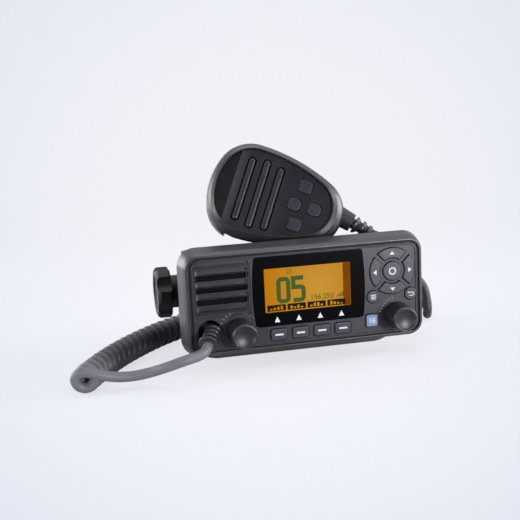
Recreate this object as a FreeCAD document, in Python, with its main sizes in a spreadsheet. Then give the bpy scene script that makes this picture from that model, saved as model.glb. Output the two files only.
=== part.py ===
"""Fixed-mount VHF marine radio on its gimbal bracket, with a fist microphone on a curly cord.

Frame, in millimetres: X runs along the tilt axis to the radio's right as its user sees it, Y runs
from the front panel to the rear, Z is up. The origin is the centre of the bracket's underside.
"""
import FreeCAD, Part
import math
import os
import Sketcher

from FreeCAD import Placement, Rotation, Vector

# ---------------------------------------------------------------- driving dimensions
DIMENSIONS = (
    # gimbal bracket and its clamping knobs
    ("pivot_height", 45.0), ("bracket_depth", 35.0), ("bracket_gauge", 2.8),
    ("bracket_half_width", 76.0), ("bracket_bend", 22.0), ("arm_half_depth", 12.0),
    ("arm_foot", 8.0), ("arm_neck", 24.0),
    ("base_hole_radius", 2.6), ("base_hole_pitch_x", 84.0), ("base_hole_pitch_y", 20.0),
    ("arm_hole_radius", 3.4), ("pad_gap", 0.15), ("pad_radius", 11.5),
    ("clamp_gap", 0.1), ("clamp_collar_radius", 11.0), ("clamp_collar_height", 6.5),
    ("clamp_radius", 17.2), ("clamp_height", 16.1), ("clamp_scallop_radius", 8.0),
    ("clamp_scallop_centre", 22.6), ("clamp_lobes", 6.0), ("stud_radius", 2.95),
    ("stud_bore_radius", 3.0), ("stud_reach_in", 10.7), ("stud_reach_out", 8.0),
    # die-cast chassis and lid
    ("chassis_half_width", 71.5), ("chassis_front", -33.4), ("chassis_rear", 24.0),
    ("chassis_bottom", 16.0), ("chassis_top", 69.2), ("chassis_wall", 3.0),
    ("lid_gauge", 2.0), ("chassis_corner", 8.0), ("chassis_bevel", 9.0), ("fin_count", 13.0), ("fin_pitch", 6.0),
    ("fin_gauge", 2.2), ("sink_gauge", 3.0), ("fin_rear", 50.0), ("fin_bottom", 24.0), ("fin_top", 64.0),
    ("boss_radius", 7.5), ("boss_depth", 8.0), ("connector_x", 51.4),
    ("antenna_height", 43.0), ("gland_height", 33.0), ("jack_height", 55.0),
    # front housing: bevelled rim, flared to the rear
    ("panel_height", 44.3), ("panel_front", -49.7), ("rim_half_width", 78.0),
    ("rim_half_height", 32.0), ("rim_corner", 8.4), ("bevel_depth", 2.9),
    ("bevel_offset", 1.4), ("flare_depth", 13.6), ("flare_offset", 3.8),
    ("housing_rear_depth", 16.2), ("rear_edge_offset", 2.2), ("opening_half_width", 77.0),
    ("opening_half_height", 31.2), ("opening_corner", 7.4), ("opening_depth", 3.6),
    ("cavity_half_width", 75.0), ("cavity_half_height", 27.4), ("housing_wall", 2.4),
    ("window_half_width", 64.0), ("window_half_height", 20.0),
    # front plate and what it carries
    ("plate_half_width", 74.8), ("plate_half_height", 29.4), ("plate_corner", 6.0),
    ("plate_gauge", 2.2), ("seal_gauge", 1.4), ("seal_lip", 1.0), ("lens_recess", 1.3),
    ("lens_x", 1.3), ("lens_z", 5.4), ("lens_half_width", 36.0), ("lens_half_height", 22.9),
    ("lens_bulge", 1.5), ("lens_corner", 2.4), ("lens_gap", 0.15),
    ("lcd_x", 0.3), ("lcd_z", 5.9), ("lcd_width", 57.2), ("lcd_height", 28.6),
    ("louvre_x", -55.6), ("louvre_z", 9.8), ("louvre_width", 34.6), ("louvre_pitch", 7.75),
    ("louvre_bar", 4.1), ("louvre_area_width", 36.4), ("louvre_area_height", 35.0),
    ("louvre_recess", 0.9), ("louvre_count", 4.0),
    # keys
    ("key_gap", 0.35), ("key_stand", 1.1), ("key_root", 3.2), ("key_travel", 1.0),
    ("soft_key_x", -20.0), ("soft_key_z", -23.1), ("soft_key_pitch", 14.3),
    ("soft_key_width", 11.2), ("soft_key_height", 7.4), ("soft_key_corner", 1.7),
    ("pad_x", 57.5), ("pad_z", 11.5), ("petal_outer", 15.4), ("petal_inner", 8.5),
    ("petal_side", 1.35), ("ok_radius", 6.3), ("round_key_radius", 4.2),
    ("menu_x", 44.0), ("menu_z", -4.6), ("back_x", 70.0), ("back_z", -4.7),
    ("channel_x", 42.7), ("channel_z", -20.3), ("channel_width", 8.6), ("channel_corner", 1.4),
    # rotary controls
    ("volume_x", 60.5), ("volume_z", -18.1), ("squelch_x", -45.0), ("squelch_z", -18.4),
    ("knob_base_radius", 8.9), ("knob_tip_radius", 8.3), ("knob_height", 16.0),
    ("knob_gap", 0.5), ("knob_bore", 3.0), ("knob_bore_depth", 11.0),
    ("dimple_radius", 1.2), ("dimple_centre", 5.0), ("shaft_hole", 3.5), ("pot_size", 12.0),
    # microphone cord
    ("cord_radius", 3.25), ("coil_radius", 9.0), ("gland_x", -64.7), ("gland_z", -16.9),
    ("gland_recess_radius", 7.6), ("gland_length", 13.0),
    # microphone, in its own axes: x towards the cord, y across the face, z out of the face
    ("mic_x", -11.3), ("mic_y", -10.6), ("mic_z", 105.8), ("mic_lean", 22.0),
    ("mic_yaw", -8.0), ("mic_roll", 21.08), ("face_half_height", 28.9), ("face_shoulder_x", -15.95),
    ("face_shoulder", 21.0), ("face_end", 42.0), ("face_nose", 20.9), ("face_nose_x", 20.9),
    ("grow_height", 5.1), ("grow_shoulder", 3.2), ("grow_end", 10.0), ("grow_nose", 3.9),
    ("shift_shoulder", -1.45), ("shift_nose", 4.3), ("mic_split", 13.0), ("mic_depth", 31.5),
    ("mic_wall", 2.2), ("face_recess", 1.0), ("face_gauge", 1.6), ("crescent_x", -27.9),
    ("crescent_depth", 0.35), ("mic_slot_width", 6.0), ("mic_rib_width", 4.0),
    ("mic_key_width", 8.6), ("mic_key_corner", 2.4), ("mic_key_gap", 0.35),
    ("ptt_inner", 25.4), ("ptt_outer", 32.2), ("ptt_front", 5.5), ("ptt_rear", 24.4),
    ("ptt_start", -23.0), ("ptt_length", 28.0), ("ptt_travel", 1.5), ("relief_x", 47.0),
    ("relief_y", 4.2), ("relief_length", 25.0), ("relief_turn", -12.0), ("relief_radius", 7.0),
)

doc = FreeCAD.newDocument("MarineRadio")
sizes = doc.addObject("Spreadsheet::Sheet", "Sizes")
for row, (alias, value) in enumerate(DIMENSIONS, start=1):
    sizes.set(f"A{row}", alias)
    sizes.set(f"B{row}", str(value))
    sizes.setAlias(f"B{row}", alias)
doc.recompute()

nodes = {}


# ---------------------------------------------------------------- reading the sheet
def value(expression):
    """The number that an expression on the sheet gives."""
    result = sizes.evalExpression(str(expression))
    return float(getattr(result, "Value", result))


def linked(expression):
    """The same expression as another object of the document has to write it."""
    text, word = "", ""
    for letter in str(expression) + " ":
        if letter.isalnum() or letter == "_":
            word += letter
            continue
        text += f"Sizes.{word}" if word in ALIASES else word
        text += letter
        word = ""
    return text.strip()


ALIASES = {alias for alias, _ in DIMENSIONS}


def bind(target, path, expression):
    """Bind one property of a document object to the sheet."""
    target.setExpression(path, linked(expression))


def place(target, x="0", y="0", z="0", rotation=Rotation()):
    """Put a finished sub-part at a place given by expressions on the sheet."""
    target.Placement = Placement(Vector(value(x), value(y), value(z)), rotation)
    for path, expression in (("x", x), ("y", y), ("z", z)):
        bind(target, f"Placement.Base.{path}", expression)


def keep(target, label):
    """Name a finished sub-part, which becomes a node of its own."""
    target.Label = label
    nodes[label] = target
    return target


# ---------------------------------------------------------------- sketches
def new_body(label):
    body = doc.addObject("PartDesign::Body", label)
    return keep(body, label)


def new_sketch(body, role, offset="0", x="0", y="0", rotation=Rotation()):
    """A sketch on one of the body's own origin planes, moved along and within it by expressions."""
    sketch = body.newObject("Sketcher::SketchObject", "Sketch")
    origin = next(item for item in body.Origin.OriginFeatures if item.Role == role)
    sketch.AttachmentSupport = (origin, [""])
    sketch.MapMode = "FlatFace"
    sketch.AttachmentOffset = Placement(Vector(value(x), value(y), value(offset)), rotation)
    for path, expression in (("x", x), ("y", y), ("z", offset)):
        bind(sketch, f"AttachmentOffset.Base.{path}", expression)
    return sketch


def constrain(sketch, kind, *items, expression=None):
    """Add a constraint and, where an expression is given, bind its datum to the sheet."""
    datum = () if expression is None else (value(expression),)
    index = sketch.addConstraint(Sketcher.Constraint(kind, *items, *datum))
    if expression is not None:
        bind(sketch, f"Constraints[{index}]", expression)


def pin_point(sketch, geometry, point, x, y):
    """Hold a point of the sketch at expressions for its two coordinates."""
    for kind, axis, expression in (("DistanceX", -2, x), ("DistanceY", -1, y)):
        if abs(value(expression)) < 1e-9:
            sketch.addConstraint(Sketcher.Constraint("PointOnObject", geometry, point, axis))
        else:
            constrain(sketch, kind, -1, 1, geometry, point, expression=expression)


def polygon(sketch, corners):
    """A closed outline through corners, each a pair of expressions."""
    points = [Vector(value(x), value(y), 0) for x, y in corners]
    first = sketch.GeometryCount
    count = len(points)
    for index in range(count):
        line = Part.LineSegment(points[index], points[(index + 1) % count])
        sketch.addGeometry(line, False)
    for index, (x, y) in enumerate(corners):
        before = first + (index - 1) % count
        sketch.addConstraint(Sketcher.Constraint("Coincident", before, 2, first + index, 1))
        pin_point(sketch, first + index, 1, x, y)


def circle(sketch, radius, x="0", y="0"):
    centre = Vector(value(x), value(y), 0)
    index = sketch.addGeometry(Part.Circle(centre, Vector(0, 0, 1), value(radius)), False)
    constrain(sketch, "Radius", index, expression=radius)
    pin_point(sketch, index, 3, x, y)


def rounded_rectangle(sketch, width, height, corner, x="0", y="0"):
    """A rectangle with round corners about a centre, all given as expressions."""
    centre_x, centre_y, radius = value(x), value(y), value(corner)
    right, top = value(width) / 2, value(height) / 2
    first = sketch.GeometryCount
    normal = Vector(0, 0, 1)
    turns = ((1, 1, 0), (-1, 1, 90), (-1, -1, 180), (1, -1, 270))
    for index, (side, level, start) in enumerate(turns):
        middle = Vector(centre_x + side * (right - radius), centre_y + level * (top - radius), 0)
        arc = Part.ArcOfCircle(
            Part.Circle(middle, normal, radius), math.radians(start), math.radians(start + 90)
        )
        sketch.addGeometry(arc, False)
        after_side, after_level, after_start = turns[(index + 1) % 4]
        goal = Vector(
            centre_x + after_side * (right - radius), centre_y + after_level * (top - radius), 0
        )
        turn = math.radians(after_start)
        direction = Vector(math.cos(turn), math.sin(turn), 0)
        sketch.addGeometry(Part.LineSegment(middle + direction * radius, goal + direction * radius), False)
    for index in range(4):
        arc, line = first + 2 * index, first + 2 * index + 1
        following = first + (2 * index + 2) % 8
        sketch.addConstraint(Sketcher.Constraint("Tangent", arc, 2, line, 1))
        sketch.addConstraint(Sketcher.Constraint("Tangent", line, 2, following, 1))
        sketch.addConstraint(Sketcher.Constraint("Horizontal" if index % 2 == 0 else "Vertical", line))
        if index:
            sketch.addConstraint(Sketcher.Constraint("Equal", first, arc))
    constrain(sketch, "Radius", first, expression=corner)
    top_line, left_line, bottom_line, right_line = (first + 1, first + 3, first + 5, first + 7)
    constrain(sketch, "DistanceX", left_line, 1, right_line, 1, expression=width)
    constrain(sketch, "DistanceY", bottom_line, 1, top_line, 1, expression=height)
    constrain(sketch, "DistanceX", -1, 1, right_line, 1, expression=f"({x}) + ({width}) / 2")
    constrain(sketch, "DistanceY", -1, 1, top_line, 1, expression=f"({y}) + ({height}) / 2")


def petal(sketch, outer, inner, side):
    """The upper one of four keys round a centre: a ring sector whose flanks run parallel to the diagonals."""
    outer_radius, inner_radius, gap = value(outer), value(inner), value(side)
    along = Vector(1, 1, 0).normalize()
    across = Vector(-1, 1, 0).normalize()
    far = along * math.sqrt(outer_radius**2 - gap**2) + across * gap
    near = along * math.sqrt(inner_radius**2 - gap**2) + across * gap
    far_left, near_left = Vector(-far.x, far.y, 0), Vector(-near.x, near.y, 0)
    normal = Vector(0, 0, 1)
    far_angle, near_angle = math.atan2(far.y, far.x), math.atan2(near.y, near.x)
    first = sketch.GeometryCount
    arc_out = Part.Circle(Vector(), normal, outer_radius)
    arc_in = Part.Circle(Vector(), normal, inner_radius)
    sketch.addGeometry(Part.ArcOfCircle(arc_out, far_angle, math.pi - far_angle), False)
    sketch.addGeometry(Part.LineSegment(far_left, near_left), False)
    sketch.addGeometry(Part.ArcOfCircle(arc_in, near_angle, math.pi - near_angle), False)
    sketch.addGeometry(Part.LineSegment(near, far), False)
    for one, one_end, other, other_end in ((0, 2, 1, 1), (1, 2, 2, 2), (2, 1, 3, 1), (3, 2, 0, 1)):
        sketch.addConstraint(
            Sketcher.Constraint("Coincident", first + one, one_end, first + other, other_end)
        )
    for arc, radius in ((first, outer), (first + 2, inner)):
        sketch.addConstraint(Sketcher.Constraint("Coincident", arc, 3, -1, 1))
        constrain(sketch, "Radius", arc, expression=radius)
    for line in (first + 1, first + 3):
        constrain(sketch, "Distance", -1, 1, line, expression=side)
    sketch.addConstraint(Sketcher.Constraint("Angle", first + 3, math.pi / 4))
    sketch.addConstraint(Sketcher.Constraint("Symmetric", first, 1, first, 2, -2))


def egg(sketch, growth):
    """The microphone's outline: a flat end and two shoulders, two tangent side arcs and a round nose.

    growth is an expression for how far the outline has gone from the face's edge (0) to the body's (1).
    """
    half_height = f"(face_half_height + grow_height * ({growth}))"
    shoulder = f"(face_shoulder + grow_shoulder * ({growth}))"
    end_radius = f"face_end + grow_end * ({growth})"
    nose_radius = f"face_nose + grow_nose * ({growth})"
    shoulder_x = f"face_shoulder_x + shift_shoulder * ({growth})"
    nose_x = f"face_nose_x + shift_nose * ({growth})"
    high, corner, end, nose = value(half_height), value(shoulder), value(end_radius), value(nose_radius)
    left, right = value(shoulder_x), value(nose_x)
    rise = high - corner
    slant = math.asin(rise / (end - corner))
    middle = left + (end - corner) * math.cos(slant)
    side = ((right - left) ** 2 + high**2 - nose**2) / (2 * (high - nose))
    turn = math.atan2(side - high, right - left)
    normal, quarter, half = Vector(0, 0, 1), math.pi / 2, math.pi
    arcs = (
        (Vector(middle, 0, 0), end, half - slant, half + slant),
        (Vector(left, -rise, 0), corner, half + slant, 3 * quarter),
        (Vector(left, side - high, 0), side, 3 * quarter, 2 * half - turn),
        (Vector(right, 0, 0), nose, -turn, turn),
        (Vector(left, high - side, 0), side, turn, quarter),
        (Vector(left, rise, 0), corner, quarter, half - slant),
    )
    for centre, radius, start, stop in arcs:
        sketch.addGeometry(Part.ArcOfCircle(Part.Circle(centre, normal, radius), start, stop), False)
    for index in range(len(arcs)):
        following = (index + 1) % len(arcs)
        sketch.addConstraint(Sketcher.Constraint("Tangent", index, 2, following, 1))
    constrain(sketch, "Radius", 0, expression=end_radius)
    for arc, radius, x, y in (
        (1, shoulder, shoulder_x, f"{shoulder} - {half_height}"),
        (3, nose_radius, nose_x, "0"),
        (5, shoulder, shoulder_x, f"{half_height} - {shoulder}"),
    ):
        pin_point(sketch, arc, 3, x, y)
        constrain(sketch, "Radius", arc, expression=radius)
    sketch.addConstraint(Sketcher.Constraint("Vertical", 1, 2, 1, 3))
    sketch.addConstraint(Sketcher.Constraint("Vertical", 5, 1, 5, 3))


# ---------------------------------------------------------------- features
def pad(body, sketch, length, reverse=False, both=False):
    feature = body.newObject("PartDesign::Pad", "Pad")
    feature.Profile = sketch
    bind(feature, "Length", length)
    feature.Reversed = reverse
    if both:
        feature.Midplane = True
    return feature


def pocket(body, sketch, depth=None, reverse=False, both=False):
    """A pocket of a given depth, or through the whole body when no depth is given."""
    doc.recompute()
    before = body.Tip.Shape.Volume
    feature = body.newObject("PartDesign::Pocket", "Pocket")
    feature.Profile = sketch
    feature.Reversed = reverse
    feature.Midplane = both
    if depth is None:
        feature.Type = "ThroughAll"
    else:
        bind(feature, "Length", depth)
    doc.recompute()
    if not feature.Shape.Volume < before - 1e-3:
        raise RuntimeError(f"{body.Label}: a pocket cuts nothing")
    return feature


def loft(body, sketches, subtract=False):
    kind = "PartDesign::SubtractiveLoft" if subtract else "PartDesign::AdditiveLoft"
    feature = body.newObject(kind, "Loft")
    feature.Profile = sketches[0]
    feature.Sections = sketches[1:]
    feature.Ruled = True
    return feature


def revolve(body, corners, plane="XZ_Plane", angle="360"):
    """Turn an outline, given as pairs of radius and height, about the body's own Z axis."""
    sketch = new_sketch(body, plane)
    polygon(sketch, corners)
    feature = body.newObject("PartDesign::Revolution", "Revolution")
    feature.Profile = sketch
    feature.ReferenceAxis = (sketch, ["V_Axis"])
    bind(feature, "Angle", angle)
    return feature


def round_edges(body, radius, chosen):
    """Fillet the edges of the body's last feature that a test picks by their two end points."""
    doc.recompute()
    base = body.Tip
    names = []
    for index, edge in enumerate(base.Shape.Edges, start=1):
        ends = [vertex.Point for vertex in edge.Vertexes]
        if len(ends) == 2 and chosen(ends[0], ends[1]):
            names.append(f"Edge{index}")
    if not names:
        raise RuntimeError(f"{body.Label}: no edge to round")
    feature = body.newObject("PartDesign::Fillet", "Fillet")
    feature.Base = (base, names)
    bind(feature, "Radius", radius)
    return feature


def repeat_round(body, feature, sketch, count):
    """Repeat a feature evenly about its sketch's normal axis."""
    pattern = body.newObject("PartDesign::PolarPattern", "PolarPattern")
    pattern.Originals = [feature]
    pattern.Axis = (sketch, ["N_Axis"])
    pattern.Angle = 360
    bind(pattern, "Occurrences", count)
    body.Tip = pattern
    return pattern


def prism(label, plane, offset, length, outline):
    """A body made of one padded sketch; outline draws it. Its front faces the plane's normal."""
    body = new_body(label)
    sketch = new_sketch(body, plane, offset)
    outline(sketch)
    pad(body, sketch, length)
    return body


# ---------------------------------------------------------------- primitives
def box(length, width, height, x, y, z):
    """A block about a centre in X and Y that stands on a level, all given as expressions."""
    block = doc.addObject("Part::Box", "Box")
    for path, expression in (("Length", length), ("Width", width), ("Height", height)):
        bind(block, path, expression)
    place(block, f"({x}) - ({length}) / 2", f"({y}) - ({width}) / 2", z)
    return block


def rod(radius, height, x, y, z, rotation=Rotation()):
    """A round bar whose foot is at a place, along Z unless it is turned."""
    bar = doc.addObject("Part::Cylinder", "Cylinder")
    bind(bar, "Radius", radius)
    bind(bar, "Height", height)
    place(bar, x, y, z, rotation)
    return bar


def cut(base, tool):
    remainder = doc.addObject("Part::Cut", "Cut")
    remainder.Base = base
    remainder.Tool = tool
    return remainder


def group(label, parts):
    """Identical parts that share one node, each still a solid of its own."""
    compound = doc.addObject("Part::Compound", label)
    compound.Links = list(parts)
    return keep(compound, label)


FORWARD = Rotation(Vector(1, 0, 0), 90)
REARWARD = Rotation(Vector(1, 0, 0), -90)
LEFTWARD = Rotation(Vector(0, 1, 0), -90)
RIGHTWARD = Rotation(Vector(0, 1, 0), 90)


# ---------------------------------------------------------------- gimbal bracket
def make_bracket():
    """One strip bent up at both ends, with round-ended arms that narrow above the base."""
    body = new_body("gimbal_bracket")
    outer, inner = "bracket_half_width", "bracket_half_width - bracket_gauge"
    top = "pivot_height + arm_half_depth"
    sketch = new_sketch(body, "XZ_Plane")
    polygon(sketch, (
        (f"-({outer})", "0"), (outer, "0"), (outer, top), (inner, top),
        (inner, "bracket_gauge"), (f"-({inner})", "bracket_gauge"),
        (f"-({inner})", top), (f"-({outer})", top),
    ))
    pad(body, sketch, "bracket_depth", both=True)

    def along_y(start, end):
        return abs(start.x - end.x) < 1e-6 and abs(start.z - end.z) < 1e-6

    def below(start, end, level):
        return along_y(start, end) and start.z < level + 1e-6 and end.z < level + 1e-6

    gauge = value("bracket_gauge")
    round_edges(body, "bracket_bend", lambda a, b: below(a, b, 0))
    round_edges(body, "bracket_bend - bracket_gauge",
                lambda a, b: below(a, b, gauge) and abs(abs(a.x) - value(inner)) < 1e-6)
    for side in ("", "-"):
        waist = new_sketch(body, "YZ_Plane")
        polygon(waist, (
            (f"{side}(bracket_depth / 2)", "arm_foot"), (f"{side}arm_half_depth", "arm_neck"),
            (f"{side}arm_half_depth", f"{top} + 1"), (f"{side}(bracket_depth / 2 + 1)", f"{top} + 1"),
            (f"{side}(bracket_depth / 2 + 1)", "arm_foot"),
        ))
        doc.recompute()
        pocket(body, waist, "bracket_half_width * 2 + 2", both=True)
    arm_top = value(top)
    round_edges(body, "arm_half_depth - 0.1",
                lambda a, b: abs(a.z - arm_top) + abs(b.z - arm_top) < 1e-6 and abs(a.y - b.y) < 1e-6)
    arm_holes = new_sketch(body, "YZ_Plane")
    circle(arm_holes, "arm_hole_radius", "0", "pivot_height")
    pocket(body, arm_holes, "bracket_half_width * 2 + 2", both=True)
    base_holes = new_sketch(body, "XY_Plane")
    for side in ("", "-"):
        for end in ("", "-"):
            circle(base_holes, "base_hole_radius",
                   f"{side}base_hole_pitch_x / 2", f"{end}base_hole_pitch_y / 2")
    pocket(body, base_holes, "bracket_gauge * 3", both=True)


def make_clamps():
    """Friction pads inside the arms; lobed knobs with studs that pull the arms against the chassis."""
    pads = []
    for side, turn in ((-1, LEFTWARD), (1, RIGHTWARD)):
        foot = f"{side} * (chassis_half_width + pad_gap)"
        thickness = "bracket_half_width - bracket_gauge - chassis_half_width - pad_gap"
        disc = rod("pad_radius", thickness, foot, "0", "pivot_height", turn)
        bore = rod("arm_hole_radius + 0.8", thickness, foot, "0", "pivot_height", turn)
        pads.append(cut(disc, bore))
    group("gimbal_pads", pads)
    for name, side, turn in (("left", -1, LEFTWARD), ("right", 1, RIGHTWARD)):
        seat = f"{side} * (bracket_half_width + clamp_gap)"
        knob = new_body(f"gimbal_knob_{name}")
        revolve(knob, (
            ("0", "stud_reach_out"), ("stud_bore_radius", "stud_reach_out"),
            ("stud_bore_radius", "0"), ("clamp_collar_radius", "0"),
            ("clamp_collar_radius", "clamp_collar_height"),
            ("clamp_radius - 1.2", "clamp_collar_height"), ("clamp_radius", "clamp_collar_height + 1.2"),
            ("clamp_radius", "clamp_height - 1.8"), ("clamp_radius - 1.8", "clamp_height"),
            ("clamp_radius - 5", "clamp_height"), ("clamp_radius - 6", "clamp_height - 1.2"),
            ("0", "clamp_height - 1.2"),
        ))
        scallop = new_sketch(knob, "XY_Plane", "clamp_collar_height")
        circle(scallop, "clamp_scallop_radius", "clamp_scallop_centre", "0")
        doc.recompute()
        notch = pocket(knob, scallop, "clamp_height", reverse=True)
        repeat_round(knob, notch, scallop, "clamp_lobes")
        place(knob, seat, "0", "pivot_height", turn)
        stud = new_body(f"gimbal_stud_{name}")
        disc = new_sketch(stud, "XY_Plane", "-stud_reach_in")
        circle(disc, "stud_radius")
        pad(stud, disc, "stud_reach_in + stud_reach_out - 0.1")
        place(stud, seat, "0", "pivot_height", turn)


# ---------------------------------------------------------------- chassis
def bevel_rear_corners(body):
    """Cut the upright rear corners of the chassis or of its lid off at 45 degrees."""
    corners = new_sketch(body, "XY_Plane", "chassis_top")
    for side in ("-", ""):
        outer, inner = f"{side}(chassis_half_width + 1)", f"{side}(chassis_half_width - chassis_bevel - 1)"
        polygon(corners, ((outer, "chassis_rear - chassis_bevel - 1"), (outer, "chassis_rear + 1"),
                          (inner, "chassis_rear + 1")))
    doc.recompute()
    pocket(body, corners, "chassis_top - chassis_bottom + 1")


def make_chassis():
    """Die-cast tray with the heat sink behind it, the knob threads in its sides and a lid screwed on."""
    body = new_body("chassis")
    depth, middle = "(chassis_rear - chassis_front)", "(chassis_rear + chassis_front) / 2"
    section = new_sketch(body, "XZ_Plane", "-chassis_rear")
    half, bottom, top = "chassis_half_width", "chassis_bottom", "chassis_top - lid_gauge"
    polygon(section, ((f"-{half}", bottom), (half, bottom), (half, top), (f"-{half}", top)))
    pad(body, section, depth)
    floor = value(bottom)
    round_edges(body, "chassis_corner",
                lambda a, b: abs(a.z - floor) + abs(b.z - floor) < 1e-6 and abs(a.x - b.x) < 1e-6)

    bevel_rear_corners(body)
    cavity = new_sketch(body, "XY_Plane", "chassis_top - lid_gauge")
    rounded_rectangle(cavity, "(chassis_half_width - chassis_wall) * 2", f"{depth} - chassis_wall * 2",
                      "chassis_bevel", "0", middle)
    doc.recompute()
    pocket(body, cavity, "chassis_top - lid_gauge - chassis_bottom - chassis_wall")
    front = new_sketch(body, "XZ_Plane", "-chassis_front")
    rounded_rectangle(front, "window_half_width * 2 - 8", "window_half_height * 2 - 4", "3",
                      "0", "panel_height")
    pocket(body, front, "chassis_wall")
    for direction in ("", "-"):
        boss = new_sketch(body, "YZ_Plane", f"{direction}(chassis_half_width - boss_depth)")
        circle(boss, "boss_radius", "0", "pivot_height")
        pad(body, boss, "boss_depth - chassis_wall / 2", reverse=bool(direction))
        doc.recompute()
    threads = new_sketch(body, "YZ_Plane")
    circle(threads, "stud_bore_radius", "0", "pivot_height")
    pocket(body, threads, "chassis_half_width * 2 + 2", both=True)
    rear = new_sketch(body, "XZ_Plane", "-chassis_rear")
    circle(rear, "6.6", "connector_x", "antenna_height")
    circle(rear, "5.1", "-connector_x", "gland_height")
    circle(rear, "4.1", "-connector_x", "jack_height")
    pocket(body, rear, "chassis_wall", reverse=True)

    lid = new_body("chassis_lid")
    sheet = new_sketch(lid, "XY_Plane", "chassis_top - lid_gauge")
    rounded_rectangle(sheet, "chassis_half_width * 2", depth, "0.8", "0", middle)
    pad(lid, sheet, "lid_gauge")
    bevel_rear_corners(lid)
    seats = new_sketch(lid, "XY_Plane", "chassis_top")
    for x in LID_SCREW_X:
        for y in LID_SCREW_Y:
            circle(seats, "2.6", x, y)
    doc.recompute()
    pocket(lid, seats, "1")
    screws = []
    for x in LID_SCREW_X:
        for y in LID_SCREW_Y:
            head = rod("2.5", "0.9", x, y, "chassis_top - 1")
            drive = rod("1.1", "0.6", x, y, "chassis_top - 0.7")
            screws.append(cut(head, drive))
    group("lid_screws", screws)


LID_SCREW_X = ("-(chassis_half_width - 8)", "chassis_half_width - 8")
LID_SCREW_Y = ("chassis_front + 8", "chassis_rear - 8")


def make_heat_sink():
    """Finned block bolted to the chassis's rear wall."""
    body = new_body("heat_sink")
    row = "(fin_count - 1) * fin_pitch"
    base = new_sketch(body, "XY_Plane", "fin_bottom")
    rounded_rectangle(base, f"{row} + fin_gauge + 6", "sink_gauge", "0.8",
                      "0", "chassis_rear + sink_gauge / 2")
    pad(body, base, "fin_top - fin_bottom")
    fin = new_sketch(body, "XY_Plane", "fin_bottom")
    reach = "(fin_rear - chassis_rear - sink_gauge / 2)"
    rounded_rectangle(fin, "fin_gauge", reach, "0.8", f"-{row} / 2", f"fin_rear - {reach} / 2")
    fin_pad = pad(body, fin, "fin_top - fin_bottom")
    doc.recompute()
    fins = body.newObject("PartDesign::LinearPattern", "LinearPattern")
    fins.Originals = [fin_pad]
    fins.Direction = (fin, ["H_Axis"])
    bind(fins, "Length", row)
    bind(fins, "Occurrences", "fin_count")
    body.Tip = fins


def make_connectors():
    """Antenna socket, power gland and loudspeaker jack on the rear wall, each along +Y."""
    socket = new_body("antenna_socket")
    revolve(socket, (
        ("2", "-4"), ("6.5", "-4"), ("6.5", "0"), ("11", "0"), ("11", "2"), ("7.9", "2"),
        ("7.9", "16"), ("7.4", "16.5"), ("2", "16.5"),
    ))
    place(socket, "connector_x", "chassis_rear", "antenna_height", REARWARD)
    gland = new_body("power_gland")
    revolve(gland, (
        ("0", "-4"), ("5", "-4"), ("5", "0"), ("8", "0"), ("8", "3"), ("5.6", "4"), ("4.6", "14"),
        ("3.4", "14"), ("3.4", "11"), ("0", "11"),
    ))
    place(gland, "-connector_x", "chassis_rear", "gland_height", REARWARD)
    jack = new_body("speaker_jack")
    revolve(jack, (
        ("0", "-10"), ("4", "-10"), ("4", "0"), ("5.5", "0"), ("5.5", "1.6"), ("1.8", "1.6"),
        ("1.8", "-8"), ("0", "-8"),
    ))
    place(jack, "-connector_x", "chassis_rear", "jack_height", REARWARD)


# ---------------------------------------------------------------- front housing and plate
def rim_outline(sketch, growth, corner="rim_corner"):
    """A rounded outline of the housing, offset outwards by an expression."""
    rounded_rectangle(sketch, f"(rim_half_width + {growth}) * 2", f"(rim_half_height + {growth}) * 2",
                      f"{corner} + {growth}", "0", "panel_height")


def make_housing():
    """Bezel that frames the front plate: bevelled rim, flared sides, thin rear wall with a window."""
    body = new_body("front_housing")
    sections = []
    for depth, growth in (("0", "0"), ("bevel_depth", "bevel_offset"), ("flare_depth", "flare_offset"),
                          ("housing_rear_depth", "rear_edge_offset")):
        section = new_sketch(body, "XZ_Plane", f"-panel_front - {depth}")
        rim_outline(section, growth)
        sections.append(section)
    loft(body, sections)
    doc.recompute()
    opening = new_sketch(body, "XZ_Plane", "-panel_front")
    rounded_rectangle(opening, "opening_half_width * 2", "opening_half_height * 2", "opening_corner",
                      "0", "panel_height")
    pocket(body, opening, "opening_depth")
    cavity = new_sketch(body, "XZ_Plane", "-panel_front - opening_depth")
    rounded_rectangle(cavity, "cavity_half_width * 2", "cavity_half_height * 2", "4", "0", "panel_height")
    pocket(body, cavity, "housing_rear_depth - opening_depth - housing_wall")
    window = new_sketch(body, "XZ_Plane", "-panel_front - housing_rear_depth + housing_wall")
    rounded_rectangle(window, "window_half_width * 2", "window_half_height * 2", "3", "0", "panel_height")
    pocket(body, window, "housing_wall + 1")

    seal = new_body("front_seal")
    ring = new_sketch(seal, "XZ_Plane", "-panel_front - opening_depth")
    rounded_rectangle(ring, "opening_half_width * 2", "opening_half_height * 2", "opening_corner",
                      "0", "panel_height")
    rounded_rectangle(ring, "cavity_half_width * 2 - 1", "cavity_half_height * 2 - 1", "4",
                      "0", "panel_height")
    pad(seal, ring, "seal_gauge")
    doc.recompute()
    lip = new_sketch(seal, "XZ_Plane", "-panel_front - plate_gauge")
    rounded_rectangle(lip, "(opening_half_width - 0.05) * 2", "(opening_half_height - 0.05) * 2",
                      "opening_corner - 0.05", "0", "panel_height")
    rounded_rectangle(lip, "(plate_half_width + 0.15) * 2", "(plate_half_height + 0.15) * 2",
                      "plate_corner + 0.15", "0", "panel_height")
    pad(seal, lip, "seal_lip")


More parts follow.
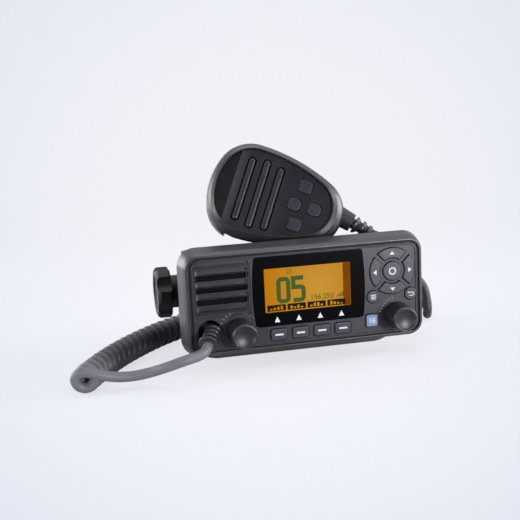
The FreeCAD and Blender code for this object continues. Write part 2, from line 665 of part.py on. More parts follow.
def lens_outline(sketch, gap):
    """The display window: straight top and bottom, and sides that bulge a little."""
    half_width, half_height = f"(lens_half_width - {gap})", f"(lens_half_height - {gap})"
    left, right = f"lens_x - {half_width}", f"lens_x + {half_width}"
    low, high = f"panel_height + lens_z - {half_height}", f"panel_height + lens_z + {half_height}"
    corners = [Vector(value(x), value(y), 0) for x, y in
               ((left, high), (left, low), (right, low), (right, high))]
    bulge = Vector(value("lens_bulge"), 0, 0)
    left_middle = (corners[0] + corners[1]) / 2 - bulge
    right_middle = (corners[2] + corners[3]) / 2 + bulge
    first = sketch.GeometryCount
    sketch.addGeometry(Part.Arc(corners[0], left_middle, corners[1]), False)
    sketch.addGeometry(Part.LineSegment(corners[1], corners[2]), False)
    sketch.addGeometry(Part.Arc(corners[2], right_middle, corners[3]), False)
    sketch.addGeometry(Part.LineSegment(corners[3], corners[0]), False)
    for index, (x, y) in enumerate(((left, high), (left, low), (right, low), (right, high))):
        before = first + (index - 1) % 4
        sketch.addConstraint(Sketcher.Constraint("Coincident", before, 2, first + index, 1))
        pin_point(sketch, first + index, 1, x, y)
    radius = f"({half_height} ^ 2 + lens_bulge ^ 2) / (2 * lens_bulge)"
    for arc in (first, first + 2):
        constrain(sketch, "Radius", arc, expression=radius)


def round_lens_corners(body):
    """Round the four corners of the display window's outline, on the lens and on its seat."""
    left, right = value("lens_x - lens_half_width"), value("lens_x + lens_half_width")

    def at_corner(start, end):
        level = abs(start.z - value("panel_height + lens_z"))
        reach = min(abs(start.x - left), abs(start.x - right))
        across = abs(start.x - end.x) + abs(start.z - end.z) < 1e-6
        return across and reach < 0.5 and abs(level - value("lens_half_height")) < 0.5

    round_edges(body, "lens_corner", at_corner)


def petal_sketch(body, depth, gap):
    """A sketch with its origin at the middle of the direction keys, holding the upper petal."""
    sketch = new_sketch(body, "XZ_Plane", f"-panel_front + {depth}", "pad_x", "panel_height + pad_z")
    petal(sketch, f"petal_outer + {gap}", f"petal_inner - {gap}", f"petal_side - {gap}")
    return sketch


def key_holes(sketch):
    """Clearance holes for every key that isn't a petal."""
    for index in range(4):
        rounded_rectangle(sketch, "soft_key_width + key_gap * 2", "soft_key_height + key_gap * 2",
                          "soft_key_corner + key_gap", f"soft_key_x + {index} * soft_key_pitch",
                          "panel_height + soft_key_z")
    rounded_rectangle(sketch, "channel_width + key_gap * 2", "channel_width + key_gap * 2",
                      "channel_corner + key_gap", "channel_x", "panel_height + channel_z")
    circle(sketch, "ok_radius + key_gap", "pad_x", "panel_height + pad_z")
    circle(sketch, "round_key_radius + key_gap", "menu_x", "panel_height + menu_z")
    circle(sketch, "round_key_radius + key_gap", "back_x", "panel_height + back_z")


def make_plate():
    """Front plate with the loudspeaker louvres, the lens seat and the holes for keys and shafts."""
    body = new_body("front_plate")
    outline = new_sketch(body, "XZ_Plane", "-panel_front - plate_gauge")
    rounded_rectangle(outline, "plate_half_width * 2", "plate_half_height * 2", "plate_corner",
                      "0", "panel_height")
    pad(body, outline, "plate_gauge")
    doc.recompute()
    front = "-panel_front"
    seat = new_sketch(body, "XZ_Plane", front)
    lens_outline(seat, "0")
    pocket(body, seat, "lens_recess")
    round_lens_corners(body)
    louvre_seat = new_sketch(body, "XZ_Plane", front)
    rounded_rectangle(louvre_seat, "louvre_area_width", "louvre_area_height", "1.5",
                      "louvre_x", "panel_height + louvre_z")
    pocket(body, louvre_seat, "louvre_recess")
    through = new_sketch(body, "XZ_Plane", front)
    rounded_rectangle(through, "lcd_width + 3", "lcd_height + 3", "1", "lcd_x", "panel_height + lcd_z")
    gaps = int(value("louvre_count")) - 1
    for index in range(gaps):
        rounded_rectangle(through, "louvre_width - 2", "louvre_pitch - louvre_bar", "1",
                          "louvre_x", f"panel_height + louvre_z + ({index} - {gaps - 1} / 2) * louvre_pitch")
    circle(through, "shaft_hole", "volume_x", "panel_height + volume_z")
    circle(through, "shaft_hole", "squelch_x", "panel_height + squelch_z")
    circle(through, "gland_recess_radius", "gland_x", "panel_height + gland_z")
    key_holes(through)
    pocket(body, through)
    petals = petal_sketch(body, "0", "key_gap")
    first = pocket(body, petals, "plate_gauge + 1")
    repeat_round(body, first, petals, "4")

    lens = new_body("lcd_lens")
    face = new_sketch(lens, "XZ_Plane", "-panel_front - lens_recess")
    lens_outline(face, "lens_gap")
    pad(lens, face, "lens_recess + 0.15")
    round_lens_corners(lens)


def make_display():
    """Liquid-crystal module behind the lens."""
    module = new_body("lcd_module")
    outline = new_sketch(module, "XZ_Plane", "-panel_front - plate_gauge - 4.2")
    rounded_rectangle(outline, "lcd_width + 6", "lcd_height + 6", "1", "lcd_x", "panel_height + lcd_z")
    pad(module, outline, "4")
    glass = new_sketch(module, "XZ_Plane", "-panel_front - plate_gauge - 0.2")
    rounded_rectangle(glass, "lcd_width + 2", "lcd_height + 2", "0.5", "lcd_x", "panel_height + lcd_z")
    pad(module, glass, "0.9")


def make_speaker():
    """Mesh, basket with its magnet, and cone, behind the louvres."""
    mesh = new_body("speaker_mesh")
    cloth = new_sketch(mesh, "XZ_Plane", "-panel_front - plate_gauge - 0.5")
    rounded_rectangle(cloth, "louvre_area_width - 3", "louvre_area_height - 4", "2",
                      "louvre_x", "panel_height + louvre_z")
    pad(mesh, cloth, "0.4")
    basket = new_body("speaker_basket")
    revolve(basket, (
        ("16.2", "0"), ("16.2", "-1.5"), ("13", "-4"), ("9", "-5"), ("9", "-9.5"), ("0", "-9.5"),
        ("0", "-8.5"), ("5.5", "-8.5"), ("5.5", "-4"), ("11", "-3"), ("14.5", "-1"), ("14.5", "0"),
    ))
    cone = new_body("speaker_cone")
    revolve(cone, (
        ("14.3", "-0.1"), ("14.3", "-0.8"), ("10.8", "-2.8"), ("5.2", "-3.8"), ("5.2", "-7"),
        ("4.7", "-7"), ("4.7", "-2.6"), ("0", "-1.8"), ("0", "-1.2"), ("4.7", "-2.1"), ("10.8", "-2"),
        ("13", "-0.1"),
    ))
    for part in (basket, cone):
        place(part, "louvre_x", "panel_front + plate_gauge + 0.7", "panel_height + louvre_z", FORWARD)


# ---------------------------------------------------------------- keys, boards and rotary controls
def make_keys():
    """Push keys that stand proud of the plate and travel into it along +Y."""
    back = "-panel_front - key_root"
    length = "key_root + key_stand"
    for index in range(4):
        prism(f"soft_key_{index + 1}", "XZ_Plane", back, length,
              lambda sketch, index=index: rounded_rectangle(
                  sketch, "soft_key_width", "soft_key_height", "soft_key_corner",
                  f"soft_key_x + {index} * soft_key_pitch", "panel_height + soft_key_z"))
    prism("key_channel", "XZ_Plane", back, length,
          lambda sketch: rounded_rectangle(sketch, "channel_width", "channel_width", "channel_corner",
                                           "channel_x", "panel_height + channel_z"))
    for name, radius, x, z in (("ok", "ok_radius", "pad_x", "pad_z"),
                               ("menu", "round_key_radius", "menu_x", "menu_z"),
                               ("back", "round_key_radius", "back_x", "back_z")):
        prism(f"key_{name}", "XZ_Plane", back, length,
              lambda sketch, radius=radius, x=x, z=z: circle(sketch, radius, x, f"panel_height + {z}"))
    for name, turn in (("up", 0), ("right", 90), ("down", 180), ("left", 270)):
        key = new_body(f"key_{name}")
        sketch = new_sketch(key, "XZ_Plane", back)
        petal(sketch, "petal_outer", "petal_inner", "petal_side")
        pad(key, sketch, length)
        place(key, "pad_x", "0", "panel_height + pad_z", Rotation(Vector(0, 1, 0), turn))
    doc.recompute()
    front = value("panel_front - key_stand")
    for name in KEY_NAMES:
        round_edges(nodes[name], "0.6", lambda a, b: abs(a.y - front) + abs(b.y - front) < 1e-6)


KEY_NAMES = ("soft_key_1", "soft_key_2", "soft_key_3", "soft_key_4", "key_up", "key_right",
             "key_down", "key_left", "key_channel")


def make_boards():
    """Silicone key mat and circuit boards: one behind the panel, one on the chassis floor."""
    mat = new_body("key_mat")
    mat_sketch = new_sketch(mat, "XZ_Plane", "-panel_front - key_root - key_travel - 1.2")
    rounded_rectangle(mat_sketch, "34", "50", "2", "57", "panel_height + 0.5")
    circle(mat_sketch, "5", "volume_x", "panel_height + volume_z")
    pad(mat, mat_sketch, "1")
    strip = new_sketch(mat, "XZ_Plane", "-panel_front - key_root - key_travel - 1.2")
    rounded_rectangle(strip, "62", "9", "1", "10.5", "panel_height - 22.4")
    pad(mat, strip, "1")
    front = new_body("front_board")
    outline = new_sketch(front, "XZ_Plane", "-panel_front - 9")
    low, step, high = "panel_height - 25", "panel_height - 8.2", "panel_height + 25"
    polygon(outline, (("-53", low), ("71", low), ("71", high), ("-37", high), ("-37", step),
                      ("-53", step)))
    circle(outline, "knob_bore + 0.4", "volume_x", "panel_height + volume_z")
    circle(outline, "knob_bore + 0.4", "squelch_x", "panel_height + squelch_z")
    pad(front, outline, "1.6")
    keep(box("128", "46", "1.6", "0", "chassis_front + 29", "chassis_bottom + 8"), "main_board")
    shield = box("64", "34", "9", "22", "chassis_front + 27", "chassis_bottom + 9.6")
    hollow = box("63", "33", "8.5", "22", "chassis_front + 27", "chassis_bottom + 9.6")
    keep(cut(shield, hollow), "rf_shield")


def make_rotary(name, x, z, dimple_turn):
    """A control knob on its shaft; the dimple in its cap shows where it points."""
    knob = new_body(f"{name}_knob")
    revolve(knob, (
        ("knob_bore", "knob_gap"), ("knob_base_radius", "knob_gap"), ("knob_base_radius", "2.2"),
        ("knob_tip_radius", "knob_height - 1.4"), ("knob_tip_radius - 0.5", "knob_height - 0.4"),
        ("knob_tip_radius - 1.1", "knob_height"), ("knob_tip_radius - 1.8", "knob_height - 0.7"),
        ("0", "knob_height - 1.3"), ("0", "knob_bore_depth"), ("knob_bore", "knob_bore_depth"),
    ))
    cap = new_sketch(knob, "XY_Plane", "knob_height")
    circle(cap, "dimple_radius", "0", "dimple_centre")
    doc.recompute()
    pocket(knob, cap, "2.1")
    turn = Rotation(Vector(0, 1, 0), dimple_turn) * FORWARD
    place(knob, x, "panel_front", f"panel_height + {z}", turn)
    shaft = new_body(f"{name}_shaft")
    disc = new_sketch(shaft, "XY_Plane", "-10")
    circle(disc, "knob_bore - 0.05")
    pad(shaft, disc, "knob_bore_depth + 9.9")
    place(shaft, x, "panel_front", f"panel_height + {z}", FORWARD)


def make_pots():
    """The two potentiometers, soldered to the front board behind the plate."""
    pots = []
    for x, z in (("volume_x", "volume_z"), ("squelch_x", "squelch_z")):
        level = f"panel_height + {z} - pot_size / 2"
        case = box("pot_size", "4.4", "pot_size", x, "panel_front + 11.2", level)
        bore = rod("knob_bore + 0.05", "6", x, "panel_front + 14", f"panel_height + {z}", FORWARD)
        pots.append(cut(case, bore))
    group("control_pots", pots)


# ---------------------------------------------------------------- microphone
def mic_rotation():
    """The microphone's axes in the radio's frame: face forward, rolled, leant back and turned."""
    roll = Rotation(Vector(0, 1, 0), value("mic_roll"))
    lean = Rotation(Vector(1, 0, 0), -value("mic_lean"))
    yaw = Rotation(Vector(0, 0, 1), value("mic_yaw"))
    return yaw * lean * roll * FORWARD


def mic_body(label):
    body = new_body(label)
    place(body, "mic_x", "mic_y", "mic_z", mic_rotation())
    return body


def mic_section(body, depth, growth):
    section = new_sketch(body, "XY_Plane", f"-({depth})")
    egg(section, growth)
    return section


def relief_hole(body):
    """Round opening in the nose, where the two shells close on the strain relief."""
    sketch = new_sketch(body, "YZ_Plane", "relief_x", "relief_y", "-mic_split",
                        Rotation(Vector(0, 1, 0), value("relief_turn")))
    circle(sketch, "relief_radius + 0.05")
    pocket(body, sketch, "relief_length / 2", reverse=True)


def mic_key_holes(sketch):
    """Clearance holes for the microphone's four keys."""
    size = "mic_key_width + mic_key_gap * 2"
    for x, y in MIC_KEYS:
        rounded_rectangle(sketch, size, size, "mic_key_corner + mic_key_gap", x, y)


def ptt_notch(body):
    """Clear the lower edge of the shells, where the push-to-talk paddle travels."""
    sketch = new_sketch(body, "XY_Plane", "-ptt_front + 0.3")
    start, stop = "ptt_start - 0.4", "ptt_start + ptt_length + 0.4"
    inner, outer = "ptt_travel + 0.4 - ptt_inner", "-ptt_outer - 8"
    polygon(sketch, ((start, inner), (start, outer), (stop, outer), (stop, inner)))
    doc.recompute()
    pocket(body, sketch, "ptt_rear - ptt_front + 0.8")


def make_mic_shells():
    """Front and back shells that meet at the widest outline; the back tapers so that it can lie on it."""
    front = mic_body("mic_front_shell")
    loft(front, [mic_section(front, depth, growth) for depth, growth in (
        ("-0.5", "0.06"), ("0.9", "0.42"), ("3.2", "0.8"), ("7", "1"), ("mic_split", "1"))])
    doc.recompute()
    seat = new_sketch(front, "XY_Plane", "0.5")
    egg(seat, "0 - 0.06")
    pocket(front, seat, "0.5 + face_recess + face_gauge")
    window = new_sketch(front, "XY_Plane", "-face_recess - face_gauge")
    egg(window, "0 - 0.3")
    pocket(front, window, "2")
    clearance = new_sketch(front, "XY_Plane", "-face_recess - face_gauge")
    mic_key_holes(clearance)
    pocket(front, clearance, "2.5")
    inside = new_sketch(front, "XY_Plane", "-mic_split")
    egg(inside, "1 - mic_wall / grow_height")
    pocket(front, inside, "mic_split - 7", reverse=True)
    middle = new_sketch(front, "XY_Plane", "-7")
    egg(middle, "0 - 0.2")
    pocket(front, middle, "4", reverse=True)
    ptt_notch(front)
    relief_hole(front)

    back = mic_body("mic_back_shell")
    loft(back, [mic_section(back, depth, growth) for depth, growth in (
        ("mic_split + 0.02", "1"), ("mic_split + 3", "0.78"), ("mic_depth - 4.5", "0 - 0.05"),
        ("mic_depth - 1.4", "0 - 0.5"), ("mic_depth", "0 - 1"))])
    doc.recompute()
    hollow = [mic_section(back, "mic_split + 0.02", "1 - mic_wall / grow_height"),
              mic_section(back, "mic_split + 3", "0.78 - mic_wall / grow_height"),
              mic_section(back, "mic_depth - 5.5", "0 - 0.4")]
    loft(back, hollow, subtract=True)
    doc.recompute()
    ptt_notch(back)
    relief_hole(back)

    plate = mic_body("mic_face_plate")
    face = mic_section(plate, "face_recess + face_gauge - 0.05", "0 - 0.1")
    pad(plate, face, "face_gauge - 0.05")
    doc.recompute()
    crescent = new_sketch(plate, "XY_Plane", "-face_recess")
    polygon(crescent, (("crescent_x", "-40"), ("crescent_x - 1.4", "40"), ("-60", "40"), ("-60", "-40")))
    pocket(plate, crescent, "crescent_depth")
    cuts = new_sketch(plate, "XY_Plane", "-face_recess")
    for x, y, length in MIC_SLOTS:
        rounded_rectangle(cuts, "mic_slot_width", length, "mic_slot_width / 2 - 0.01", x, y)
    mic_key_holes(cuts)
    pocket(plate, cuts)

    bars = mic_body("mic_grille")
    backing = new_sketch(bars, "XY_Plane", "-face_recess - face_gauge - 1")
    middle_x, middle_y, longest = MIC_SLOTS[1]
    rounded_rectangle(backing, "28", f"{longest} + 0.6", "8", middle_x, middle_y)
    pad(bars, backing, "0.9")
    ribs = new_sketch(bars, "XY_Plane", "-face_recess - face_gauge - 0.1")
    for x, y, length in MIC_SLOTS:
        rounded_rectangle(ribs, "mic_rib_width", f"{length} - 2", "mic_rib_width / 2 - 0.01", x, y)
    pad(bars, ribs, "face_gauge + 0.2")


# Centres of the microphone's keys, and centres and lengths of the slots over its capsule.
MIC_KEYS = (("20", "13.1"), ("15.8", "-0.8"), ("29.7", "-0.5"), ("19.8", "-14.3"))
MIC_SLOTS = (("-19.6", "-0.35", "46.3"), ("-9.4", "-1", "50.1"), ("0.8", "-1.5", "46.4"))


def make_mic_controls():
    """Four keys in the face, the push-to-talk paddle in the side, and the parts behind them."""
    for index, (x, y) in enumerate(MIC_KEYS, start=1):
        key = mic_body(f"mic_key_{index}")
        cap = new_sketch(key, "XY_Plane", "-face_recess - face_gauge - 0.6")
        rounded_rectangle(cap, "mic_key_width", "mic_key_width", "mic_key_corner", x, y)
        pad(key, cap, "face_gauge + 1.2")
        round_edges(key, "0.4", lambda a, b: a.z > -0.5 and b.z > -0.5)
    paddle = mic_body("mic_ptt")
    profile = new_sketch(paddle, "YZ_Plane", "ptt_start")
    polygon(profile, (
        ("-ptt_inner", "-ptt_front"), ("0.6 - ptt_outer", "-ptt_front"),
        ("-ptt_outer", "-ptt_front - 0.8"), ("1 - ptt_outer", "-ptt_front - 6"),
        ("4.5 - ptt_outer", "-ptt_rear"), ("-ptt_inner", "-ptt_rear"),
    ))
    pad(paddle, profile, "ptt_length")
    capsule = mic_body("mic_capsule")
    can = new_sketch(capsule, "XY_Plane", "-10", MIC_SLOTS[1][0])
    circle(can, "4.85")
    pad(capsule, can, "5.5")
    board = mic_body("mic_board")
    outline = new_sketch(board, "XY_Plane", "-5.4")
    rounded_rectangle(outline, "25", "29", "3", "17", "-0.5")
    pad(board, outline, "1.2")
    doc.recompute()
    button = mic_body("mic_hang_button")
    stem = new_sketch(button, "XY_Plane", "-mic_depth - 0.02")
    circle(stem, "4", "-4")
    pad(button, stem, "2.6", reverse=True)
    head = new_sketch(button, "XY_Plane", "-mic_depth - 2.6")
    circle(head, "7", "-4")
    pad(button, head, "2.2", reverse=True)


# Each route is a list of points in millimetres that the cord follows from one end to the other.
TAIL_ROUTE = (
    (-67.6, -59.4, 21.8), (-69.7, -63.5, 19.4), (-74.6, -67.8, 17.9), (-84.9, -71.7, 17.0),
    (-94.9, -69.9, 13.8), (-104.2, -63.0, 9.6), (-114.7, -60.4, 7.5), (-125.8, -61.6, 8.4),
    (-135.5, -63.4, 11.5), (-144.6, -63.2, 14.4),
)
COIL_ROUTE = (
    (-146.0, -64.0, 9.1), (-132.0, -32.0, 9.1), (-108.0, 5.0, 9.1), (-79.0, 38.0, 9.1),
    (-42.0, 63.0, 9.1), (3.0, 73.0, 9.1), (48.0, 67.0, 9.1), (84.0, 49.0, 9.1),
    (115.0, 25.0, 9.1),
)
LEAD_LOWER_ROUTE = (
    (114.8, 24.6, 13.5), (110.4, 24.6, 26.0), (102.075, 26.6, 34.875), (98.2, 27.6, 40.0),
)
LEAD_UPPER_ROUTE = (
    (98.2, 27.6, 40.0), (95.1, 28.4, 44.1), (88.9, 27.6, 52.5), (84.1, 22.5, 60.0),
    (82.3, 14.5, 65.2), (82.8, 5.9, 67.1), (85.3, -4.4, 69.3), (82.1, -13.4, 71.2),
    (77.0, -18.5, 73.0), (70.7, -21.4, 73.5), (64.8, -22.0, 73.5), (59.3, -19.6, 73.3),
    (54.7, -17.8, 76.2),
)


def turned_along(start, direction):
    """A placement whose local Z runs along a direction from a start point."""
    return Placement(start, Rotation(Vector(0, 0, 1), direction))


def ribbed(label, placement, first, last, length, ribs, flange=None):
    """A tapered strain relief with grooves; first and last are its end radii."""
    body = new_body(label)
    corners = [("0", "0"), (f"{first}", "0")]
    pitch = value(length) / (ribs + 1)
    for index in range(ribs):
        radius = first + (last - first) * (index + 0.6) / (ribs + 0.6)
        groove = pitch * (index + 0.75)
        inner = max(radius - 1.3, CORD_CORE)
        corners += [(f"{radius:.3f}", f"{groove:.3f}"), (f"{inner:.3f}", f"{groove:.3f}"),
                    (f"{inner:.3f}", f"{groove + pitch * 0.38:.3f}"),
                    (f"{radius:.3f}", f"{groove + pitch * 0.38:.3f}")]
    corners += [(f"{flange or last}", f"{value(length) - (1.6 if flange else 0.8):.3f}"),
                (f"{flange or last}", length), ("0", length)]
    revolve(body, corners)
    body.Placement = placement
    return body


CORD_CORE = 3.5


def make_reliefs():
    """The ribbed boots where the cord leaves the front panel and the microphone."""
    tail_start = Vector(*TAIL_ROUTE[0])
    axis = (Vector(*TAIL_ROUTE[1]) - tail_start).normalize()
    foot = tail_start - axis * value("gland_length")
    ribbed("cord_gland", turned_along(foot, axis), 5.7, 5.2, "gland_length", 3, flange=6.5)
    turn = Rotation(Vector(0, 0, 1), value("relief_turn")).multVec(Vector(1, 0, 0))
    local = Placement(Vector(value("relief_x"), value("relief_y"), -value("mic_split")),
                      Rotation(Vector(0, 0, 1), turn))
    mic = Placement(Vector(value("mic_x"), value("mic_y"), value("mic_z")), mic_rotation())
    ribbed("mic_strain_relief", mic.multiply(local), value("relief_radius"), 4.6, "relief_length", 4)


# ---------------------------------------------------------------- cord
def rounded_path(route):
    """Straight runs through a route with an arc at each corner, as large as its two runs allow."""
    points = [Vector(*point) for point in route]
    edges, radii = [], []
    start = points[0]
    for before, corner, after in zip(points, points[1:], points[2:]):
        into = (corner - before).normalize()
        out = (after - corner).normalize()
        turn = into.getAngle(out)
        reach = 0.45 * min((corner - before).Length, (after - corner).Length)
        radii.append(reach / math.tan(turn / 2))
        leave, meet = corner - into * reach, corner + out * reach
        inward = (out - into).normalize()
        middle = corner + inward * (radii[-1] / math.cos(turn / 2) - radii[-1])
        edges.append(Part.LineSegment(start, leave).toShape())
        edges.append(Part.Arc(leave, middle, meet).toShape())
        start = meet
    edges.append(Part.LineSegment(start, points[-1]).toShape())
    return Part.Wire(edges), radii


def tube(label, route, radius):
    """A solid round tube along a route; prints its bend radii and compares its volume."""
    path, radii = rounded_path(route)
    start = Vector(*route[0])
    along = Vector(*route[1]) - start
    section = Part.Wire(Part.Circle(start, along, radius).toShape())
    solid = path.makePipe(Part.Face(section))
    expected = math.pi * radius**2 * path.Length
    print(f"{label}: length {path.Length:.1f}, radii {', '.join(f'{r:.0f}' for r in radii)},",
          f"volume {solid.Volume / expected:.3f} of section x length")
    feature = doc.addObject("Part::Feature", label)
    feature.Shape = solid.Solids[0] if solid.Solids else solid
    return keep(feature, label)


def make_cord():
    """Plain tail from the panel, the curly length as one fat tube, and the lead up to the microphone."""
    cord, coil = value("cord_radius"), value("coil_radius")
    tube("cord_tail", TAIL_ROUTE, cord)
    tube("cord_coil", COIL_ROUTE, coil)
    tube("mic_lead_lower", LEAD_LOWER_ROUTE, cord)
    tube("mic_lead_upper", LEAD_UPPER_ROUTE, cord)


# ---------------------------------------------------------------- build, check and write
def check():
    """Stop if any object failed to build or any sub-part isn't a sound solid."""
    doc.recompute()
    for item in doc.Objects:
        if {"Invalid", "Error"} & set(item.State):
            owners = ", ".join(owner.Label for owner in item.InList)
            raise RuntimeError(f"{item.Name} of {owners} failed: {item.State}")
    for label, item in nodes.items():
        shape = item.Shape
        if shape.isNull() or not shape.isValid() or not shape.Solids:
            raise RuntimeError(f"{label} isn't a valid solid")


def write():
    os.makedirs("parts", exist_ok=True)
    for label, item in nodes.items():
        item.Shape.exportStep(f"parts/{label}.step")
    print(len(nodes), "sub-parts written")


make_bracket()
make_clamps()
make_chassis()
make_heat_sink()
make_connectors()
make_housing()
make_plate()
make_display()
make_speaker()
make_keys()
make_boards()
make_rotary("volume", "volume_x", "volume_z", 45)
make_rotary("squelch", "squelch_x", "squelch_z", 0)
make_pots()
make_mic_shells()
make_mic_controls()
make_reliefs()
make_cord()
check()
write()
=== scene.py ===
"""Dressed model of a fixed-mount marine radio with its tilting bracket and fist microphone.

All sizes are millimetres unless a name or comment says otherwise. X runs along the tilt axis to the
radio's right, Y from the front panel to the rear and Z up, from the bracket's underside.
"""

import logging
import math
from dataclasses import dataclass
from enum import Enum
from typing import Iterable, Sequence

import bmesh
import bpy
from mathutils import Matrix, Vector


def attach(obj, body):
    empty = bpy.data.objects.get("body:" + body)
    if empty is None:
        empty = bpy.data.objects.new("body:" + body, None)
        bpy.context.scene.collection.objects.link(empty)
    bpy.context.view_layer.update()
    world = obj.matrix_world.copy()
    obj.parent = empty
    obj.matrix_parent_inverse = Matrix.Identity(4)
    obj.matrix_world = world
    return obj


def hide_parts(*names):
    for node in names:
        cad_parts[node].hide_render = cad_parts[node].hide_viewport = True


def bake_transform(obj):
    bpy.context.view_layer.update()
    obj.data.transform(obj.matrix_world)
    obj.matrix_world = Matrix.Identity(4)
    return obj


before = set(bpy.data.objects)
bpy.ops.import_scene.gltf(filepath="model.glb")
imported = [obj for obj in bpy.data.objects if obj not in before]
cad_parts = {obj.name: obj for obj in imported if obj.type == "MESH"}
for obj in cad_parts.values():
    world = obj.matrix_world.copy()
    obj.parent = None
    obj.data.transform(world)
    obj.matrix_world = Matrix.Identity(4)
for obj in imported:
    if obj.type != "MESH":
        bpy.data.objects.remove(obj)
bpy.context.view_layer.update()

LOG = logging.getLogger("marine_radio")
MM = 0.001
AXIS_GAP = 0.02
SOFT_KEY_PITCH = 14.3

Point = tuple[float, float]
Point3 = tuple[float, float, float]
Ring = list[Point3]


# ---------------------------------------------------------------- places
def local_frame(origin: Point3, turn: Matrix) -> Matrix:
    """The matrix that takes a piece drawn in millimetres about its own origin to its place.

    Args:
        origin: Where the piece's origin goes, in millimetres.
        turn: How the piece's axes are turned.

    Returns:
        A matrix from local millimetres to metres.
    """
    return Matrix.Translation(Vector(origin) * MM) @ turn @ Matrix.Scale(MM, 4)


FORWARD = Matrix.Rotation(math.radians(90), 4, "X")
REARWARD = Matrix.Rotation(math.radians(-90), 4, "X")
PANEL = local_frame((0, -49.7, 44.3), FORWARD)
VOLUME_AT: Point = (60.5, -18.1)
SQUELCH_AT: Point = (-45.0, -18.4)
MICROPHONE_AT: Point3 = (-11.3, -10.6, 105.8)
MICROPHONE_TURN = (
    Matrix.Rotation(math.radians(-8), 4, "Z")
    @ Matrix.Rotation(math.radians(-22), 4, "X")
    @ Matrix.Rotation(math.radians(21.08), 4, "Y")
    @ FORWARD
)
MICROPHONE = local_frame(MICROPHONE_AT, MICROPHONE_TURN)


def shifted(place: Matrix, x: float, y: float, z: float = 0.0, turn: float = 0.0) -> Matrix:
    """A place moved within its own axes, and turned about its own Z by degrees."""
    spin = Matrix.Rotation(math.radians(turn), 4, "Z")
    return place @ Matrix.Translation((x, y, z)) @ spin


# ---------------------------------------------------------------- outlines
def arc(x: float, y: float, radius: float, start: float, end: float, steps: int) -> list[Point]:
    """Points on an arc.

    Args:
        x: Centre.
        y: Centre.
        radius: The arc's radius.
        start: First angle in degrees.
        end: Last angle in degrees.
        steps: How many pieces the arc is cut into.

    Returns:
        One point more than there are steps.
    """
    angles = [math.radians(start + (end - start) * index / steps) for index in range(steps + 1)]
    return [(x + radius * math.cos(angle), y + radius * math.sin(angle)) for angle in angles]


def circle(radius: float, x: float = 0.0, y: float = 0.0, count: int = 64) -> list[Point]:
    """Points evenly round a circle."""
    return arc(x, y, radius, 0, 360, count)[:-1]


def rounded(half_width: float, half_height: float, corner: float, x: float = 0.0, y: float = 0.0,
            steps: int = 8) -> list[Point]:
    """A rectangle with round corners, counter-clockwise from its right side.

    Args:
        half_width: Half of its width.
        half_height: Half of its height.
        corner: The radius of its corners.
        x: Centre.
        y: Centre.
        steps: How many pieces each corner is cut into.

    Returns:
        The outline's points, always in the same order and number for the same steps.
    """
    points: list[Point] = []
    for index, (side, level) in enumerate(((1, 1), (-1, 1), (-1, -1), (1, -1))):
        middle = (x + side * (half_width - corner), y + level * (half_height - corner))
        points += arc(*middle, corner, index * 90, index * 90 + 90, steps)
    return points


def petal(outer: float, inner: float, side: float, steps: int = 14) -> list[Point]:
    """The upper one of four keys round a centre, with flanks parallel to the diagonals.

    Args:
        outer: Radius of its outer edge.
        inner: Radius of its inner edge.
        side: Distance of its flanks from the diagonals.
        steps: How many pieces each arc is cut into.

    Returns:
        The outline's points.
    """
    far = 45 + math.degrees(math.asin(side / outer))
    near = 45 + math.degrees(math.asin(side / inner))
    return arc(0, 0, outer, far, 180 - far, steps) + arc(0, 0, inner, 180 - near, near, steps)


def eased(corners: Sequence[Point3], steps: int = 3) -> list[Point]:
    """A profile whose corners are rounded.

    Args:
        corners: For each corner its two coordinates and how far its rounding reaches.
        steps: How many pieces each rounding is cut into.

    Returns:
        The profile's points; the first and last corner stay as they are.
    """
    points = [corners[0][:2]]
    for before, (x, y, reach), after in zip(corners, corners[1:], corners[2:]):
        corner = Vector((x, y))
        into = corner + (Vector(before[:2]) - corner).normalized() * reach
        out = corner + (Vector(after[:2]) - corner).normalized() * reach
        for index in range(steps + 1):
            share = index / steps
            points.append(tuple(into.lerp(corner, share).lerp(corner.lerp(out, share), share)))
    return points + [corners[-1][:2]]


def level(outline: Iterable[Point], height: float) -> Ring:
    """An outline as a ring at one height."""
    return [(x, y, height) for x, y in outline]


# ---------------------------------------------------------------- modelling
class Ends(Enum):
    """What becomes of the first and last ring of a stack."""

    CAPPED = "capped"
    JOINED = "joined"
    OPEN = "open"


def choose_only(piece: bpy.types.Object) -> None:
    """Make a piece the only selected and the active object.

    Args:
        piece: The piece.
    """
    bpy.ops.object.select_all(action="DESELECT")
    piece.select_set(True)
    bpy.context.view_layer.objects.active = piece


def set_selected(piece: bpy.types.Object, ring: Ring) -> None:
    """Move the selected vertices of a piece in edit mode to a ring's points, by their order.

    Args:
        piece: The piece, whose "order" attribute numbers the vertices of a ring.
        ring: Where they go.
    """
    mesh = bmesh.from_edit_mesh(piece.data)
    order = mesh.verts.layers.int["order"]
    for vertex in mesh.verts:
        if vertex.select:
            vertex.co = ring[vertex[order]]
    bmesh.update_edit_mesh(piece.data)


